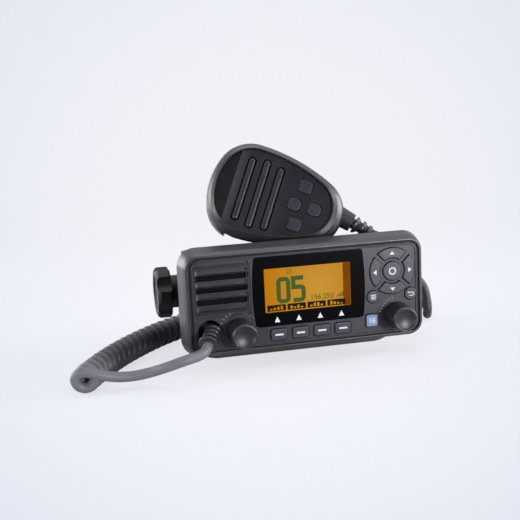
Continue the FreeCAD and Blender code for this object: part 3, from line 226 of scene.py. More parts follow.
def stack(name: str, rings: Sequence[Ring], ends: Ends = Ends.CAPPED) -> bpy.types.Object:
    """Model a piece from rings of equal length by extruding one after another.

    Args:
        name: The piece's name.
        rings: Its rings in order.
        ends: Whether the two ends are closed, joined to each other or left open.

    Returns:
        The piece, with its sizes still in local millimetres.
    """
    count = len(rings[0])
    bpy.ops.object.select_all(action="DESELECT")
    bpy.ops.mesh.primitive_circle_add(vertices=count, radius=1.0, fill_type="NOTHING")
    piece = bpy.context.object
    piece.name = piece.data.name = name
    order = piece.data.attributes.new("order", "INT", "POINT")
    order.data.foreach_set("value", range(count))
    bpy.ops.object.mode_set(mode="EDIT")
    bpy.ops.mesh.select_all(action="SELECT")
    set_selected(piece, rings[0])
    following = list(rings[1:]) + ([rings[0]] if ends is Ends.JOINED else [])
    for ring in following:
        bpy.ops.mesh.extrude_edges_move()
        set_selected(piece, ring)
    bpy.ops.mesh.select_all(action="SELECT")
    if ends is Ends.CAPPED:
        bpy.ops.mesh.fill_holes(sides=0)
        bpy.ops.mesh.select_all(action="SELECT")
    bpy.ops.mesh.remove_doubles(threshold=0.0005)
    bpy.ops.mesh.normals_make_consistent(inside=False)
    bpy.ops.object.mode_set(mode="OBJECT")
    piece.data.attributes.remove(piece.data.attributes["order"])
    return piece


def soften(piece: bpy.types.Object, width: float, segments: int = 3, angle: float = 35.0) -> None:
    """Round the edges of a piece that are sharper than an angle.

    Args:
        piece: The piece, in local millimetres or, for a copy of a solid, in metres.
        width: How far back the rounding reaches, in the mesh's own unit.
        segments: How many faces make up the rounding.
        angle: The least angle in degrees between faces for an edge to be rounded.
    """
    choose_only(piece)
    bevel = piece.modifiers.new("rounding", "BEVEL")
    bevel.width = width
    bevel.segments = segments
    bevel.limit_method = "ANGLE"
    bevel.angle_limit = math.radians(angle)
    bevel.miter_outer = "MITER_ARC"
    bpy.ops.object.modifier_apply(modifier=bevel.name)


def smooth(piece: bpy.types.Object, angle: float = 32.0) -> None:
    """Shade a piece smooth, but its flats flat and its sharp edges sharp.

    Args:
        piece: The piece.
        angle: The least angle in degrees between faces for an edge to stay sharp.
    """
    choose_only(piece)
    bpy.ops.object.shade_smooth_by_angle(angle=math.radians(angle))
    weighted = piece.modifiers.new("flat_faces", "WEIGHTED_NORMAL")
    weighted.keep_sharp = True
    bpy.ops.object.modifier_apply(modifier=weighted.name)


def settle(piece: bpy.types.Object, place: Matrix, angle: float = 32.0) -> bpy.types.Object:
    """Put a piece that was modelled in local millimetres at its place, within its mesh.

    Args:
        piece: The piece.
        place: Where it goes, from local_frame or shifted.
        angle: The angle for smooth.

    Returns:
        The same piece.
    """
    piece.data.transform(place)
    piece.matrix_world = Matrix.Identity(4)
    smooth(piece, angle)
    return piece


def copied(piece: bpy.types.Object, name: str) -> bpy.types.Object:
    """A copy of a piece with a mesh of its own.

    Args:
        piece: The piece to copy.
        name: The copy's name.

    Returns:
        The copy.
    """
    twin = piece.copy()
    twin.data = piece.data.copy()
    twin.name = twin.data.name = name
    bpy.context.scene.collection.objects.link(twin)
    return twin


def slab(name: str, outline: Sequence[Point], back: float, front: float, rounding: float,
         segments: int = 3) -> bpy.types.Object:
    """A flat piece with rounded edges, such as a key.

    Args:
        name: The piece's name.
        outline: The outline's points.
        back: Height of its back.
        front: Height of its front.
        rounding: How far the rounding of its edges reaches.
        segments: How many faces make up the rounding.

    Returns:
        The piece in local millimetres.
    """
    piece = stack(name, [level(outline, back), level(outline, front)])
    soften(piece, rounding, segments)
    return piece


def joined(name: str, pieces: Sequence[bpy.types.Object]) -> bpy.types.Object:
    """Several pieces made one, such as the strokes of a symbol.

    Args:
        name: The name of the whole.
        pieces: The pieces.

    Returns:
        The first of them, which now holds them all.
    """
    choose_only(pieces[0])
    for piece in pieces[1:]:
        piece.select_set(True)
    bpy.ops.object.join()
    pieces[0].name = pieces[0].data.name = name
    return pieces[0]


def strand(name: str, points: Sequence[Point3], radius: float, along: int,
           around: int) -> bpy.types.Object:
    """A smooth round line, as a curve.

    Args:
        name: Its name.
        points: The control points of its centre line, in the unit that the curve is to have.
        radius: Half of its thickness, or 0 for the bare centre line.
        along: How many pieces lie between two control points.
        around: How finely it is rounded.

    Returns:
        The curve object.
    """
    data = bpy.data.curves.new(name, "CURVE")
    data.dimensions = "3D"
    data.resolution_u = along
    spline = data.splines.new("NURBS")
    spline.points.add(len(points) - 1)
    for point, place in zip(spline.points, points):
        point.co = (*place, 1.0)
    spline.order_u = 3
    spline.use_endpoint_u = True
    if radius:
        data.bevel_depth = radius
        data.bevel_resolution = around
        data.use_fill_caps = True
    piece = bpy.data.objects.new(name, data)
    bpy.context.scene.collection.objects.link(piece)
    return piece


def meshed(curve: bpy.types.Object) -> bpy.types.Object:
    """A curve or text made a mesh.

    Args:
        curve: The curve.

    Returns:
        The mesh object, under the curve's name.
    """
    name = curve.name
    choose_only(curve)
    bpy.ops.object.convert(target="MESH")
    piece = bpy.context.object
    piece.name = piece.data.name = name
    return piece


def flat_line(name: str, route: Sequence[Point], width: float, height: float,
              closed: bool = False) -> bpy.types.Object:
    """A flat line of even width through points.

    Args:
        name: Its name.
        route: Its centre line.
        width: How wide it is.
        height: Height of its face.
        closed: Whether it runs back to its first point.

    Returns:
        The piece in local millimetres.
    """
    count = len(route)
    sides: tuple[list[Point], list[Point]] = ([], [])
    for index, (x, y) in enumerate(route):
        before = route[index - 1] if index or closed else (x, y)
        after = route[(index + 1) % count] if index < count - 1 or closed else (x, y)
        into = Vector((x - before[0], y - before[1]))
        out = Vector((after[0] - x, after[1] - y))
        into = into.normalized() if into.length else out.normalized()
        out = out.normalized() if out.length else into
        along = (into + out).normalized()
        reach = width / 2 / max(0.5, along.dot(into))
        normal = Vector((-along.y, along.x)) * reach
        sides[0].append((x + normal.x, y + normal.y))
        sides[1].append((x - normal.x, y - normal.y))
    low = height - 0.1
    if closed:
        rings = [level(sides[0], height), level(sides[1], height), level(sides[1], low),
                 level(sides[0], low)]
        return stack(name, rings, Ends.JOINED)
    outline = sides[0] + sides[1][::-1]
    return stack(name, [level(outline, low), level(outline, height)])


def lettered(name: str, text: str, size: float, place: Matrix, centred: bool = False) -> bpy.types.Object:
    """A small generic number as a raised print, in place.

    Args:
        name: The piece's name.
        text: The digits.
        size: The letter size.
        place: Where its lower left corner goes, or its middle.
        centred: Whether the place is its middle.

    Returns:
        The piece.
    """
    bpy.ops.object.select_all(action="DESELECT")
    bpy.ops.object.text_add()
    words = bpy.context.object.data
    words.body, words.size, words.extrude, words.resolution_u = text, size, 0.04, 3
    if centred:
        words.align_x = words.align_y = "CENTER"
    bpy.ops.object.convert(target="MESH")
    piece = bpy.context.object
    piece.name = piece.data.name = name
    return settle(piece, place)


def turned(name: str, profile: Sequence[Point], count: int = 72,
           ends: Ends = Ends.CAPPED) -> bpy.types.Object:
    """A round piece from pairs of radius and height, in local millimetres."""
    return stack(name, [level(circle(radius, count=count), height) for radius, height in profile], ends)


def refined(node: str, edge: float, segments: int = 2, angle: float = 30.0) -> bpy.types.Object:
    """A finished copy of a solid: one closed surface with rounded edges.

    Args:
        node: The solid's name in the frame.
        edge: How far the rounding of its edges reaches, in millimetres.
        segments: How many faces make up the rounding.
        angle: The least angle in degrees for an edge to be rounded.

    Returns:
        The copy, in place.
    """
    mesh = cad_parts[node].data.copy()
    mesh.name = f"{node}.fine"
    piece = bpy.data.objects.new(f"{node}.fine", mesh)
    bpy.context.scene.collection.objects.link(piece)
    choose_only(piece)
    bpy.ops.object.mode_set(mode="EDIT")
    bpy.ops.mesh.select_all(action="SELECT")
    bpy.ops.mesh.remove_doubles(threshold=2e-6)
    bpy.ops.mesh.dissolve_limited(angle_limit=math.radians(0.4))
    bpy.ops.mesh.normals_make_consistent(inside=False)
    bpy.ops.object.mode_set(mode="OBJECT")
    if edge:
        soften(piece, edge * MM, segments, angle)
    smooth(piece)
    return piece


def hand_over(piece: bpy.types.Object, body: str, slot: str, material: bpy.types.Material,
              *nodes: str) -> bpy.types.Object:
    """Give a finished piece its material and its body.

    Args:
        piece: The piece, in place.
        body: The body that it moves with.
        slot: Not used.
        material: The material that it shows.
        nodes: The solids that it stands for.

    Returns:
        The same piece.
    """
    piece.data.materials.clear()
    piece.data.materials.append(material)
    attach(piece, body)
    if nodes:
        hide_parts(*nodes)
    LOG.info("%s rides on %s", piece.name, body)
    return piece


# ---------------------------------------------------------------- materials
def linear_part(part: float) -> float:
    """One display value from 0 to 255 as the linear share that a shader takes."""
    share = part / 255
    return share / 12.92 if share <= 0.04045 else ((share + 0.055) / 1.055) ** 2.4


def linear(red: float, green: float, blue: float) -> tuple[float, float, float, float]:
    """A colour given as display values from 0 to 255, as a shader takes it."""
    return (linear_part(red), linear_part(green), linear_part(blue), 1.0)


def scaled(colour: Point3, factor: float) -> Point3:
    """A display colour made darker or paler by a factor."""
    return tuple(min(255.0, part * factor) for part in colour)


class NodeTree:
    """Short ways to add and link nodes in a material or a node group."""

    def __init__(self, tree: bpy.types.NodeTree) -> None:
        """Work on a node tree."""
        self.tree = tree

    def add(self, kind: str, settings: dict | None = None, inputs: dict | None = None) -> bpy.types.Node:
        """Add a node.

        Args:
            kind: Its type without the ShaderNode prefix, or a full type name.
            settings: Its properties by name.
            inputs: Values or sockets by input name or number.

        Returns:
            The node.
        """
        full = kind if kind.startswith("Node") else f"ShaderNode{kind}"
        node = self.tree.nodes.new(full)
        for name, value in (settings or {}).items():
            setattr(node, name, value)
        for name, value in (inputs or {}).items():
            if isinstance(value, bpy.types.NodeSocket):
                self.tree.links.new(value, node.inputs[name])
            else:
                node.inputs[name].default_value = value
        return node

    def math(self, operation: str, first: object, second: object = 0.0) -> bpy.types.NodeSocket:
        """The result of a math node on two values or sockets."""
        return self.add("Math", {"operation": operation}, {0: first, 1: second}).outputs[0]

    def ramp(self, factor: bpy.types.NodeSocket, low: float, high: float, start: float,
             end: float) -> bpy.types.NodeSocket:
        """A value that goes from start to end while factor goes from low to high."""
        inputs = {0: factor, 1: low, 2: high, 3: start, 4: end}
        return self.add("MapRange", {"clamp": True}, inputs).outputs[0]

    def dot(self, vector: bpy.types.NodeSocket, along: Point3) -> bpy.types.NodeSocket:
        """How far a vector reaches along a direction."""
        return self.add("VectorMath", {"operation": "DOT_PRODUCT"}, {0: vector, 1: along}).outputs["Value"]

    def mix(self, factor: bpy.types.NodeSocket, first: object, second: object) -> bpy.types.NodeSocket:
        """A mixture of two colours or colour sockets."""
        node = self.add("Mix", {"data_type": "RGBA"}, {0: factor, 6: first, 7: second})
        return node.outputs[2]


class EffectGroups:
    """Effects that several materials share, each a node group that is built once."""

    def __init__(self) -> None:
        """Build the groups."""
        self.grain = self._grain()
        self.marks = self._marks()

    @staticmethod
    def _new(name: str, inputs: Sequence[tuple[str, str, float]],
             outputs: Sequence[str]) -> tuple[bpy.types.NodeTree, NodeTree, bpy.types.Node, bpy.types.Node]:
        """An empty group with named sockets.

        Args:
            name: The group's name.
            inputs: Name, kind and default of each value input, after the Coordinate input.
            outputs: Names of the value outputs.

        Returns:
            The group, its node helper, its input node and its output node.
        """
        group = bpy.data.node_groups.new(name, "ShaderNodeTree")
        group.interface.new_socket("Coordinate", in_out="INPUT", socket_type="NodeSocketVector")
        for label, kind, default in inputs:
            socket = group.interface.new_socket(label, in_out="INPUT", socket_type=kind)
            socket.default_value = default
        for label in outputs:
            group.interface.new_socket(label, in_out="OUTPUT", socket_type="NodeSocketFloat")
        tree = NodeTree(group)
        return group, tree, tree.add("NodeGroupInput"), tree.add("NodeGroupOutput")

    def _grain(self) -> bpy.types.NodeTree:
        """Fine moulded or powder-coat texture: a height and a speckle, both from 0 to 1.

        Returns:
            The group.
        """
        group, tree, start, end = self._new(
            "moulded_grain", (("Scale", "NodeSocketFloat", 3000.0),), ("Height", "Speckle"))
        fine = tree.add("TexNoise", {"noise_dimensions": "3D"},
                        {"Vector": start.outputs["Coordinate"], "Scale": start.outputs["Scale"],
                         "Detail": 3.0, "Roughness": 0.55})
        wide = tree.math("MULTIPLY", start.outputs["Scale"], 0.31)
        cells = tree.add("TexVoronoi", {"feature": "SMOOTH_F1"},
                         {"Vector": start.outputs["Coordinate"], "Scale": wide})
        height = tree.math("ADD", tree.math("MULTIPLY", fine.outputs[0], 0.65),
                           tree.math("MULTIPLY", cells.outputs["Distance"], 0.35))
        tree.tree.links.new(height, end.inputs["Height"])
        tree.tree.links.new(tree.ramp(fine.outputs[0], 0.35, 0.65, 0.0, 1.0), end.inputs["Speckle"])
        return group

    def _marks(self) -> bpy.types.NodeTree:
        """Traces of handling: soft smudges, and the faint dust that settles between them.

        Returns:
            The group.
        """
        group, tree, start, end = self._new(
            "handling_marks", (("Scale", "NodeSocketFloat", 60.0),), ("Smudge", "Dust"))
        large = tree.add("TexNoise", {}, {"Vector": start.outputs["Coordinate"],
                                          "Scale": start.outputs["Scale"], "Detail": 4.0,
                                          "Roughness": 0.6, "Distortion": 0.6})
        wide = tree.math("MULTIPLY", start.outputs["Scale"], 9.0)
        small = tree.add("TexNoise", {}, {"Vector": start.outputs["Coordinate"], "Scale": wide,
                                          "Detail": 2.0})
        smudge = tree.ramp(large.outputs[0], 0.38, 0.68, 0.0, 1.0)
        dust = tree.math("MULTIPLY", tree.ramp(small.outputs[0], 0.55, 0.8, 0.0, 1.0), smudge)
        tree.tree.links.new(smudge, end.inputs["Smudge"])
        tree.tree.links.new(dust, end.inputs["Dust"])
        return group


@dataclass(frozen=True)
class Finish:
    """A surface finish: its colour, its shine, and the grain and marks on it."""

    name: str
    colour: Point3
    roughness: float
    metallic: float = 0.0
    specular: float = 0.5
    coat: float = 0.0
    grain_scale: float = 3500.0
    grain_depth: float = 0.02
    variation: float = 0.12
    marks: float = 0.08

    def base(self, tree: NodeTree, coordinate: bpy.types.NodeSocket,
             speckle: bpy.types.NodeSocket) -> bpy.types.NodeSocket:
        """The colour before dust and smudges; other finishes draw their pattern here.

        Args:
            tree: The material's nodes.
            coordinate: Object coordinates, which the plain colour does not use.
            speckle: The grain's own speckle.

        Returns:
            A colour socket.
        """
        dark = linear(*scaled(self.colour, 1 - self.variation / 2))
        pale = linear(*scaled(self.colour, 1 + self.variation / 2))
        return tree.mix(speckle, dark, pale)

    def build(self, effects: EffectGroups) -> bpy.types.Material:
        """Make the material.

        Args:
            effects: The shared node groups.

        Returns:
            The material.
        """
        material = bpy.data.materials.new(self.name)
        material.use_nodes = True
        material.diffuse_color = linear(*self.colour)
        tree = NodeTree(material.node_tree)
        shader = material.node_tree.nodes["Principled BSDF"]
        coordinate = tree.add("TexCoord").outputs["Object"]
        grain = tree.add("Group", {"node_tree": effects.grain},
                         {"Coordinate": coordinate, "Scale": self.grain_scale})
        marks = tree.add("Group", {"node_tree": effects.marks}, {"Coordinate": coordinate})
        base = self.base(tree, coordinate, grain.outputs["Speckle"])
        dusty = tree.mix(tree.math("MULTIPLY", marks.outputs["Dust"], self.marks), base,
                         linear(86, 85, 90))
        rough = tree.math("ADD", tree.ramp(marks.outputs["Smudge"], 0.0, 1.0, self.roughness,
                                           self.roughness + self.marks),
                          tree.math("MULTIPLY", grain.outputs["Speckle"], 0.04))
        bump = tree.add("Bump", {}, {"Strength": 0.35, "Distance": self.grain_depth * MM,
                                     "Height": grain.outputs["Height"]})
        links = material.node_tree.links
        links.new(dusty, shader.inputs["Base Color"])
        links.new(rough, shader.inputs["Roughness"])
        links.new(bump.outputs[0], shader.inputs["Normal"])
        shader.inputs["Metallic"].default_value = self.metallic
        shader.inputs["Specular IOR Level"].default_value = self.specular
        shader.inputs["Coat Weight"].default_value = self.coat
        shader.inputs["Coat Roughness"].default_value = 0.08
        self.adjust(tree, shader, coordinate)
        return material

    def adjust(self, tree: NodeTree, shader: bpy.types.Node, coordinate: bpy.types.NodeSocket) -> None:
        """Hook for finishes that add something to the shader."""


@dataclass(frozen=True)
class BacklitFinish(Finish):
    """A backlit surface that glows more in its middle than at its edges."""

    glow: Point3 = (196, 148, 64)
    edge_glow: Point3 = (215, 150, 20)
    middle: Point3 = (0.0, 0.0, 0.0)
    reach: float = 30.0
    strength: float = 1.0

    def adjust(self, tree: NodeTree, shader: bpy.types.Node, coordinate: bpy.types.NodeSocket) -> None:
        """Add the glow, which falls off with the distance from the middle.

        Args:
            tree: The material's nodes.
            shader: Its Principled BSDF.
            coordinate: Object coordinates.
        """
        centre = tuple(part * MM for part in self.middle)
        away = tree.add("VectorMath", {"operation": "DISTANCE"}, {0: coordinate, 1: centre})
        share = tree.ramp(away.outputs["Value"], 0.0, self.reach * MM, 0.0, 1.0)
        colour = tree.mix(share, linear(*self.glow), linear(*self.edge_glow))
        tree.tree.links.new(colour, shader.inputs["Emission Color"])
        shader.inputs["Emission Strength"].default_value = self.strength


@dataclass(frozen=True)
class WovenMeshFinish(Finish):
    """Black dust cloth: a fine square weave of round threads."""

    thread: float = 0.5

    def base(self, tree: NodeTree, coordinate: bpy.types.NodeSocket,
             speckle: bpy.types.NodeSocket) -> bpy.types.NodeSocket:
        """Threads that cross, pale on top and dark between.

        Args:
            tree: The material's nodes.
            coordinate: Object coordinates.
            speckle: The grain's own speckle, which these patterns leave out.

        Returns:
            A colour socket.
        """
        scale = 1 / (self.thread * MM * 20)
        across = tree.add("TexWave", {"bands_direction": "X"}, {"Vector": coordinate, "Scale": scale})
        upright = tree.add("TexWave", {"bands_direction": "Z"}, {"Vector": coordinate, "Scale": scale})
        share = tree.math("MULTIPLY", across.outputs["Fac"], upright.outputs["Fac"])
        return tree.mix(share, linear(*scaled(self.colour, 0.4)), linear(*scaled(self.colour, 1.5)))


@dataclass(frozen=True)
class BrushedFinish(Finish):
    """Metal with brush lines along one axis."""

    stretch: Point3 = (1.0, 1.0, 0.04)

    def base(self, tree: NodeTree, coordinate: bpy.types.NodeSocket,
             speckle: bpy.types.NodeSocket) -> bpy.types.NodeSocket:
        """Long streaks that are a little paler or darker.

        Args:
            tree: The material's nodes.
            coordinate: Object coordinates.
            speckle: The grain's own speckle, which these patterns leave out.

        Returns:
            A colour socket.
        """
        placed = tree.add("Mapping", {}, {"Vector": coordinate, "Scale": self.stretch})
        lines = tree.add("TexNoise", {}, {"Vector": placed.outputs[0], "Scale": 4000.0, "Detail": 2.0})
        dark = linear(*scaled(self.colour, 1 - self.variation))
        pale = linear(*scaled(self.colour, 1 + self.variation))
        return tree.mix(tree.ramp(lines.outputs[0], 0.3, 0.7, 0.0, 1.0), dark, pale)


@dataclass(frozen=True)
class BoardFinish(Finish):
    """Green solder mask with copper tracks that show faintly through it, and bare pads."""

    track: float = 1.6

    def base(self, tree: NodeTree, coordinate: bpy.types.NodeSocket,
             speckle: bpy.types.NodeSocket) -> bpy.types.NodeSocket:
        """Tracks as cell borders, pads as small round cells.

        Args:
            tree: The material's nodes.
            coordinate: Object coordinates.
            speckle: The grain's own speckle, which these patterns leave out.

        Returns:
            A colour socket.
        """
        scale = 1 / (self.track * MM)
        tracks = tree.add("TexVoronoi", {"feature": "DISTANCE_TO_EDGE", "distance": "EUCLIDEAN"},
                          {"Vector": coordinate, "Scale": scale * 0.35})
        pads = tree.add("TexVoronoi", {"feature": "F1"}, {"Vector": coordinate, "Scale": scale})
        line = tree.ramp(tracks.outputs["Distance"], 0.03, 0.06, 1.0, 0.0)
        pad = tree.ramp(pads.outputs["Distance"], 0.14, 0.18, 1.0, 0.0)
        mask = tree.mix(line, linear(*self.colour), linear(*scaled(self.colour, 1.45)))
        return tree.mix(pad, mask, linear(196, 186, 150))


@dataclass(frozen=True)
class ZonedFinish(Finish):
    """A colour that changes over bands along one direction, each edge soft or sharp."""

    along: Point3 = (1.0, 0.0, 0.0)
    origin: Point3 = (0.0, 0.0, 0.0)
    bands: Sequence[tuple[float, float, Point3]] = ()

    def base(self, tree: NodeTree, coordinate: bpy.types.NodeSocket,
             speckle: bpy.types.NodeSocket) -> bpy.types.NodeSocket:
        """Measure along the direction; each band starts somewhere in millimetres and stays to the end.

        Args:
            tree: The material's nodes.
            coordinate: Object coordinates.
            speckle: The grain's own speckle.

        Returns:
            A colour socket.
        """
        start = tuple(part * MM for part in self.origin)
        offset = tree.add("VectorMath", {"operation": "SUBTRACT"}, {0: coordinate, 1: start})
        reach = tree.dot(offset.outputs[0], self.along)
        colour = super().base(tree, coordinate, speckle)
        for low, high, tone in self.bands:
            share = tree.ramp(reach, low * MM, high * MM, 0.0, 1.0)
            colour = tree.mix(share, colour, linear(*tone))
        return colour


class Palette:
    """Every material of the model, built once."""

    FINISHES: tuple[Finish, ...] = (
        Finish("housing_moulding", (32, 31, 36), 0.32, specular=0.6, grain_scale=2400.0,
               grain_depth=0.04),
        Finish("plate_moulding", (27, 24, 36), 0.34, specular=0.5, grain_scale=2800.0),
        Finish("louvre_moulding", (26, 24, 35), 0.28, specular=0.55),
        # Painted shade: the dark frame round the louvre bars.
        Finish("recess_moulding", (14, 13, 18), 0.4, specular=0.3),
        Finish("dark_recess", (10, 10, 13), 0.5, specular=0.2),
        Finish("lens_black", (5, 5, 7), 0.14, specular=0.08, grain_depth=0.0003, marks=0.02,
               variation=0.03),
        Finish("white_print", (198, 198, 203), 0.5, specular=0.2, grain_depth=0.004, variation=0.04,
               marks=0.03),
        Finish("grey_print", (120, 118, 130), 0.5, grain_depth=0.004, variation=0.04, marks=0.03),
        Finish("key_moulding", (38, 35, 49), 0.34, specular=0.5),
        Finish("knob_moulding", (19, 18, 24), 0.36, specular=0.6),
        Finish("clamp_moulding", (16, 15, 18), 0.4, specular=0.25),
        Finish("seal_rubber", (26, 25, 30), 0.5, specular=0.3, grain_depth=0.03),
        # Painted shade: one rubber for the whole cord, turned darker from Y = -60 to -30 mm onwards so that
        # the coil behind stays darker than the tail.
        ZonedFinish("cord_rubber", (92, 90, 98), 0.42, specular=0.45, grain_scale=1500.0,
                    grain_depth=0.03, along=(0.0, 1.0, 0.0), bands=((-60.0, -30.0, (40, 39, 45)),)),
        Finish("boot_rubber", (36, 35, 41), 0.36, specular=0.5, grain_scale=1800.0),
        Finish("bracket_coat", (18, 18, 21), 0.4, grain_scale=1400.0, grain_depth=0.05),
        Finish("chassis_coat", (27, 27, 30), 0.48, grain_scale=1200.0, grain_depth=0.06),
        Finish("mic_moulding", (38, 37, 41), 0.3, specular=0.6),
        Finish("mic_rib_moulding", (30, 29, 35), 0.26, specular=0.7),
        Finish("mic_key_rubber", (34, 32, 42), 0.36, specular=0.5),
        Finish("paddle_rubber", (14, 14, 16), 0.24),
        # Painted light on the microphone face: the crescent left of its edge keeps the base colour; the
        # pale strip just right of that edge, fading towards the first slot, is a painted highlight, and the
        # darker tone beyond the slots is painted shade.
        ZonedFinish("mic_face_moulding", (13, 12, 17), 0.3, specular=0.4,
                    along=tuple(MICROPHONE.to_3x3().normalized() @ Vector((1, 0, 0))),
                    origin=MICROPHONE_AT,
                    bands=((-27.95, -27.8, (52, 50, 58)), (-27.0, -21.5, (30, 29, 35)),
                           (4.0, 8.0, (23, 22, 29)))),
        BrushedFinish("bright_steel", (176, 176, 178), 0.32, metallic=1.0, variation=0.08),
        BrushedFinish("nickel_plate", (198, 197, 194), 0.2, metallic=1.0, variation=0.05),
        WovenMeshFinish("dust_cloth", (14, 14, 16), 0.8, specular=0.1),
        BoardFinish("solder_mask", (22, 78, 44), 0.35, coat=0.2),
        BacklitFinish("lcd_glow", (14, 9, 1), 0.3, specular=0.0, glow=(200, 148, 56),
                      edge_glow=(186, 118, 8), middle=(8.0, -49.9, 50.2), reach=38.0, strength=1.0,
                      variation=0.03, grain_depth=0.001, marks=0.02),
        BacklitFinish("lcd_strip", (10, 5, 1), 0.3, specular=0.0, glow=(126, 70, 2),
                      edge_glow=(116, 62, 2), middle=(26.0, -49.9, 50.2), reach=20.0, strength=1.0,
                      variation=0.03, grain_depth=0.001, marks=0.02),
        Finish("lcd_digit", (58, 76, 34), 0.5, specular=0.0, grain_depth=0.001, variation=0.05),
        Finish("lcd_label", (34, 20, 6), 0.5, specular=0.0, grain_depth=0.001, variation=0.06),
        BacklitFinish("channel_glow", (30, 44, 58), 0.3, specular=0.2, glow=(158, 180, 204),
                      edge_glow=(104, 140, 178), middle=(42.7, -50.9, 24.0), reach=5.5,
                      strength=0.8, variation=0.03, marks=0.02),
        Finish("capsule_can", (150, 150, 152), 0.35, metallic=0.8),
    )

    def __init__(self) -> None:
        """Build all materials."""
        effects = EffectGroups()
        self.materials = {finish.name: finish.build(effects) for finish in self.FINISHES}

    def __getitem__(self, name: str) -> bpy.types.Material:
        """The material of that name."""
        return self.materials[name]


# ---------------------------------------------------------------- studio
@dataclass(frozen=True)
class Lamp:
    """A rectangular lamp. Its places and its size are in metres."""

    name: str
    at: Point3
    aim: Point3
    size: Point
    watts: float

    def build(self) -> None:
        """Add the lamp and point it at its aim."""
        data = bpy.data.lights.new(self.name, "AREA")
        data.shape = "RECTANGLE"
        data.size, data.size_y = self.size
        data.energy = self.watts
        lamp = bpy.data.objects.new(self.name, data)
        lamp.location = self.at
        direction = Vector(self.aim) - Vector(self.at)
        lamp.rotation_euler = direction.to_track_quat("-Z", "Y").to_euler()
        bpy.context.scene.collection.objects.link(lamp)


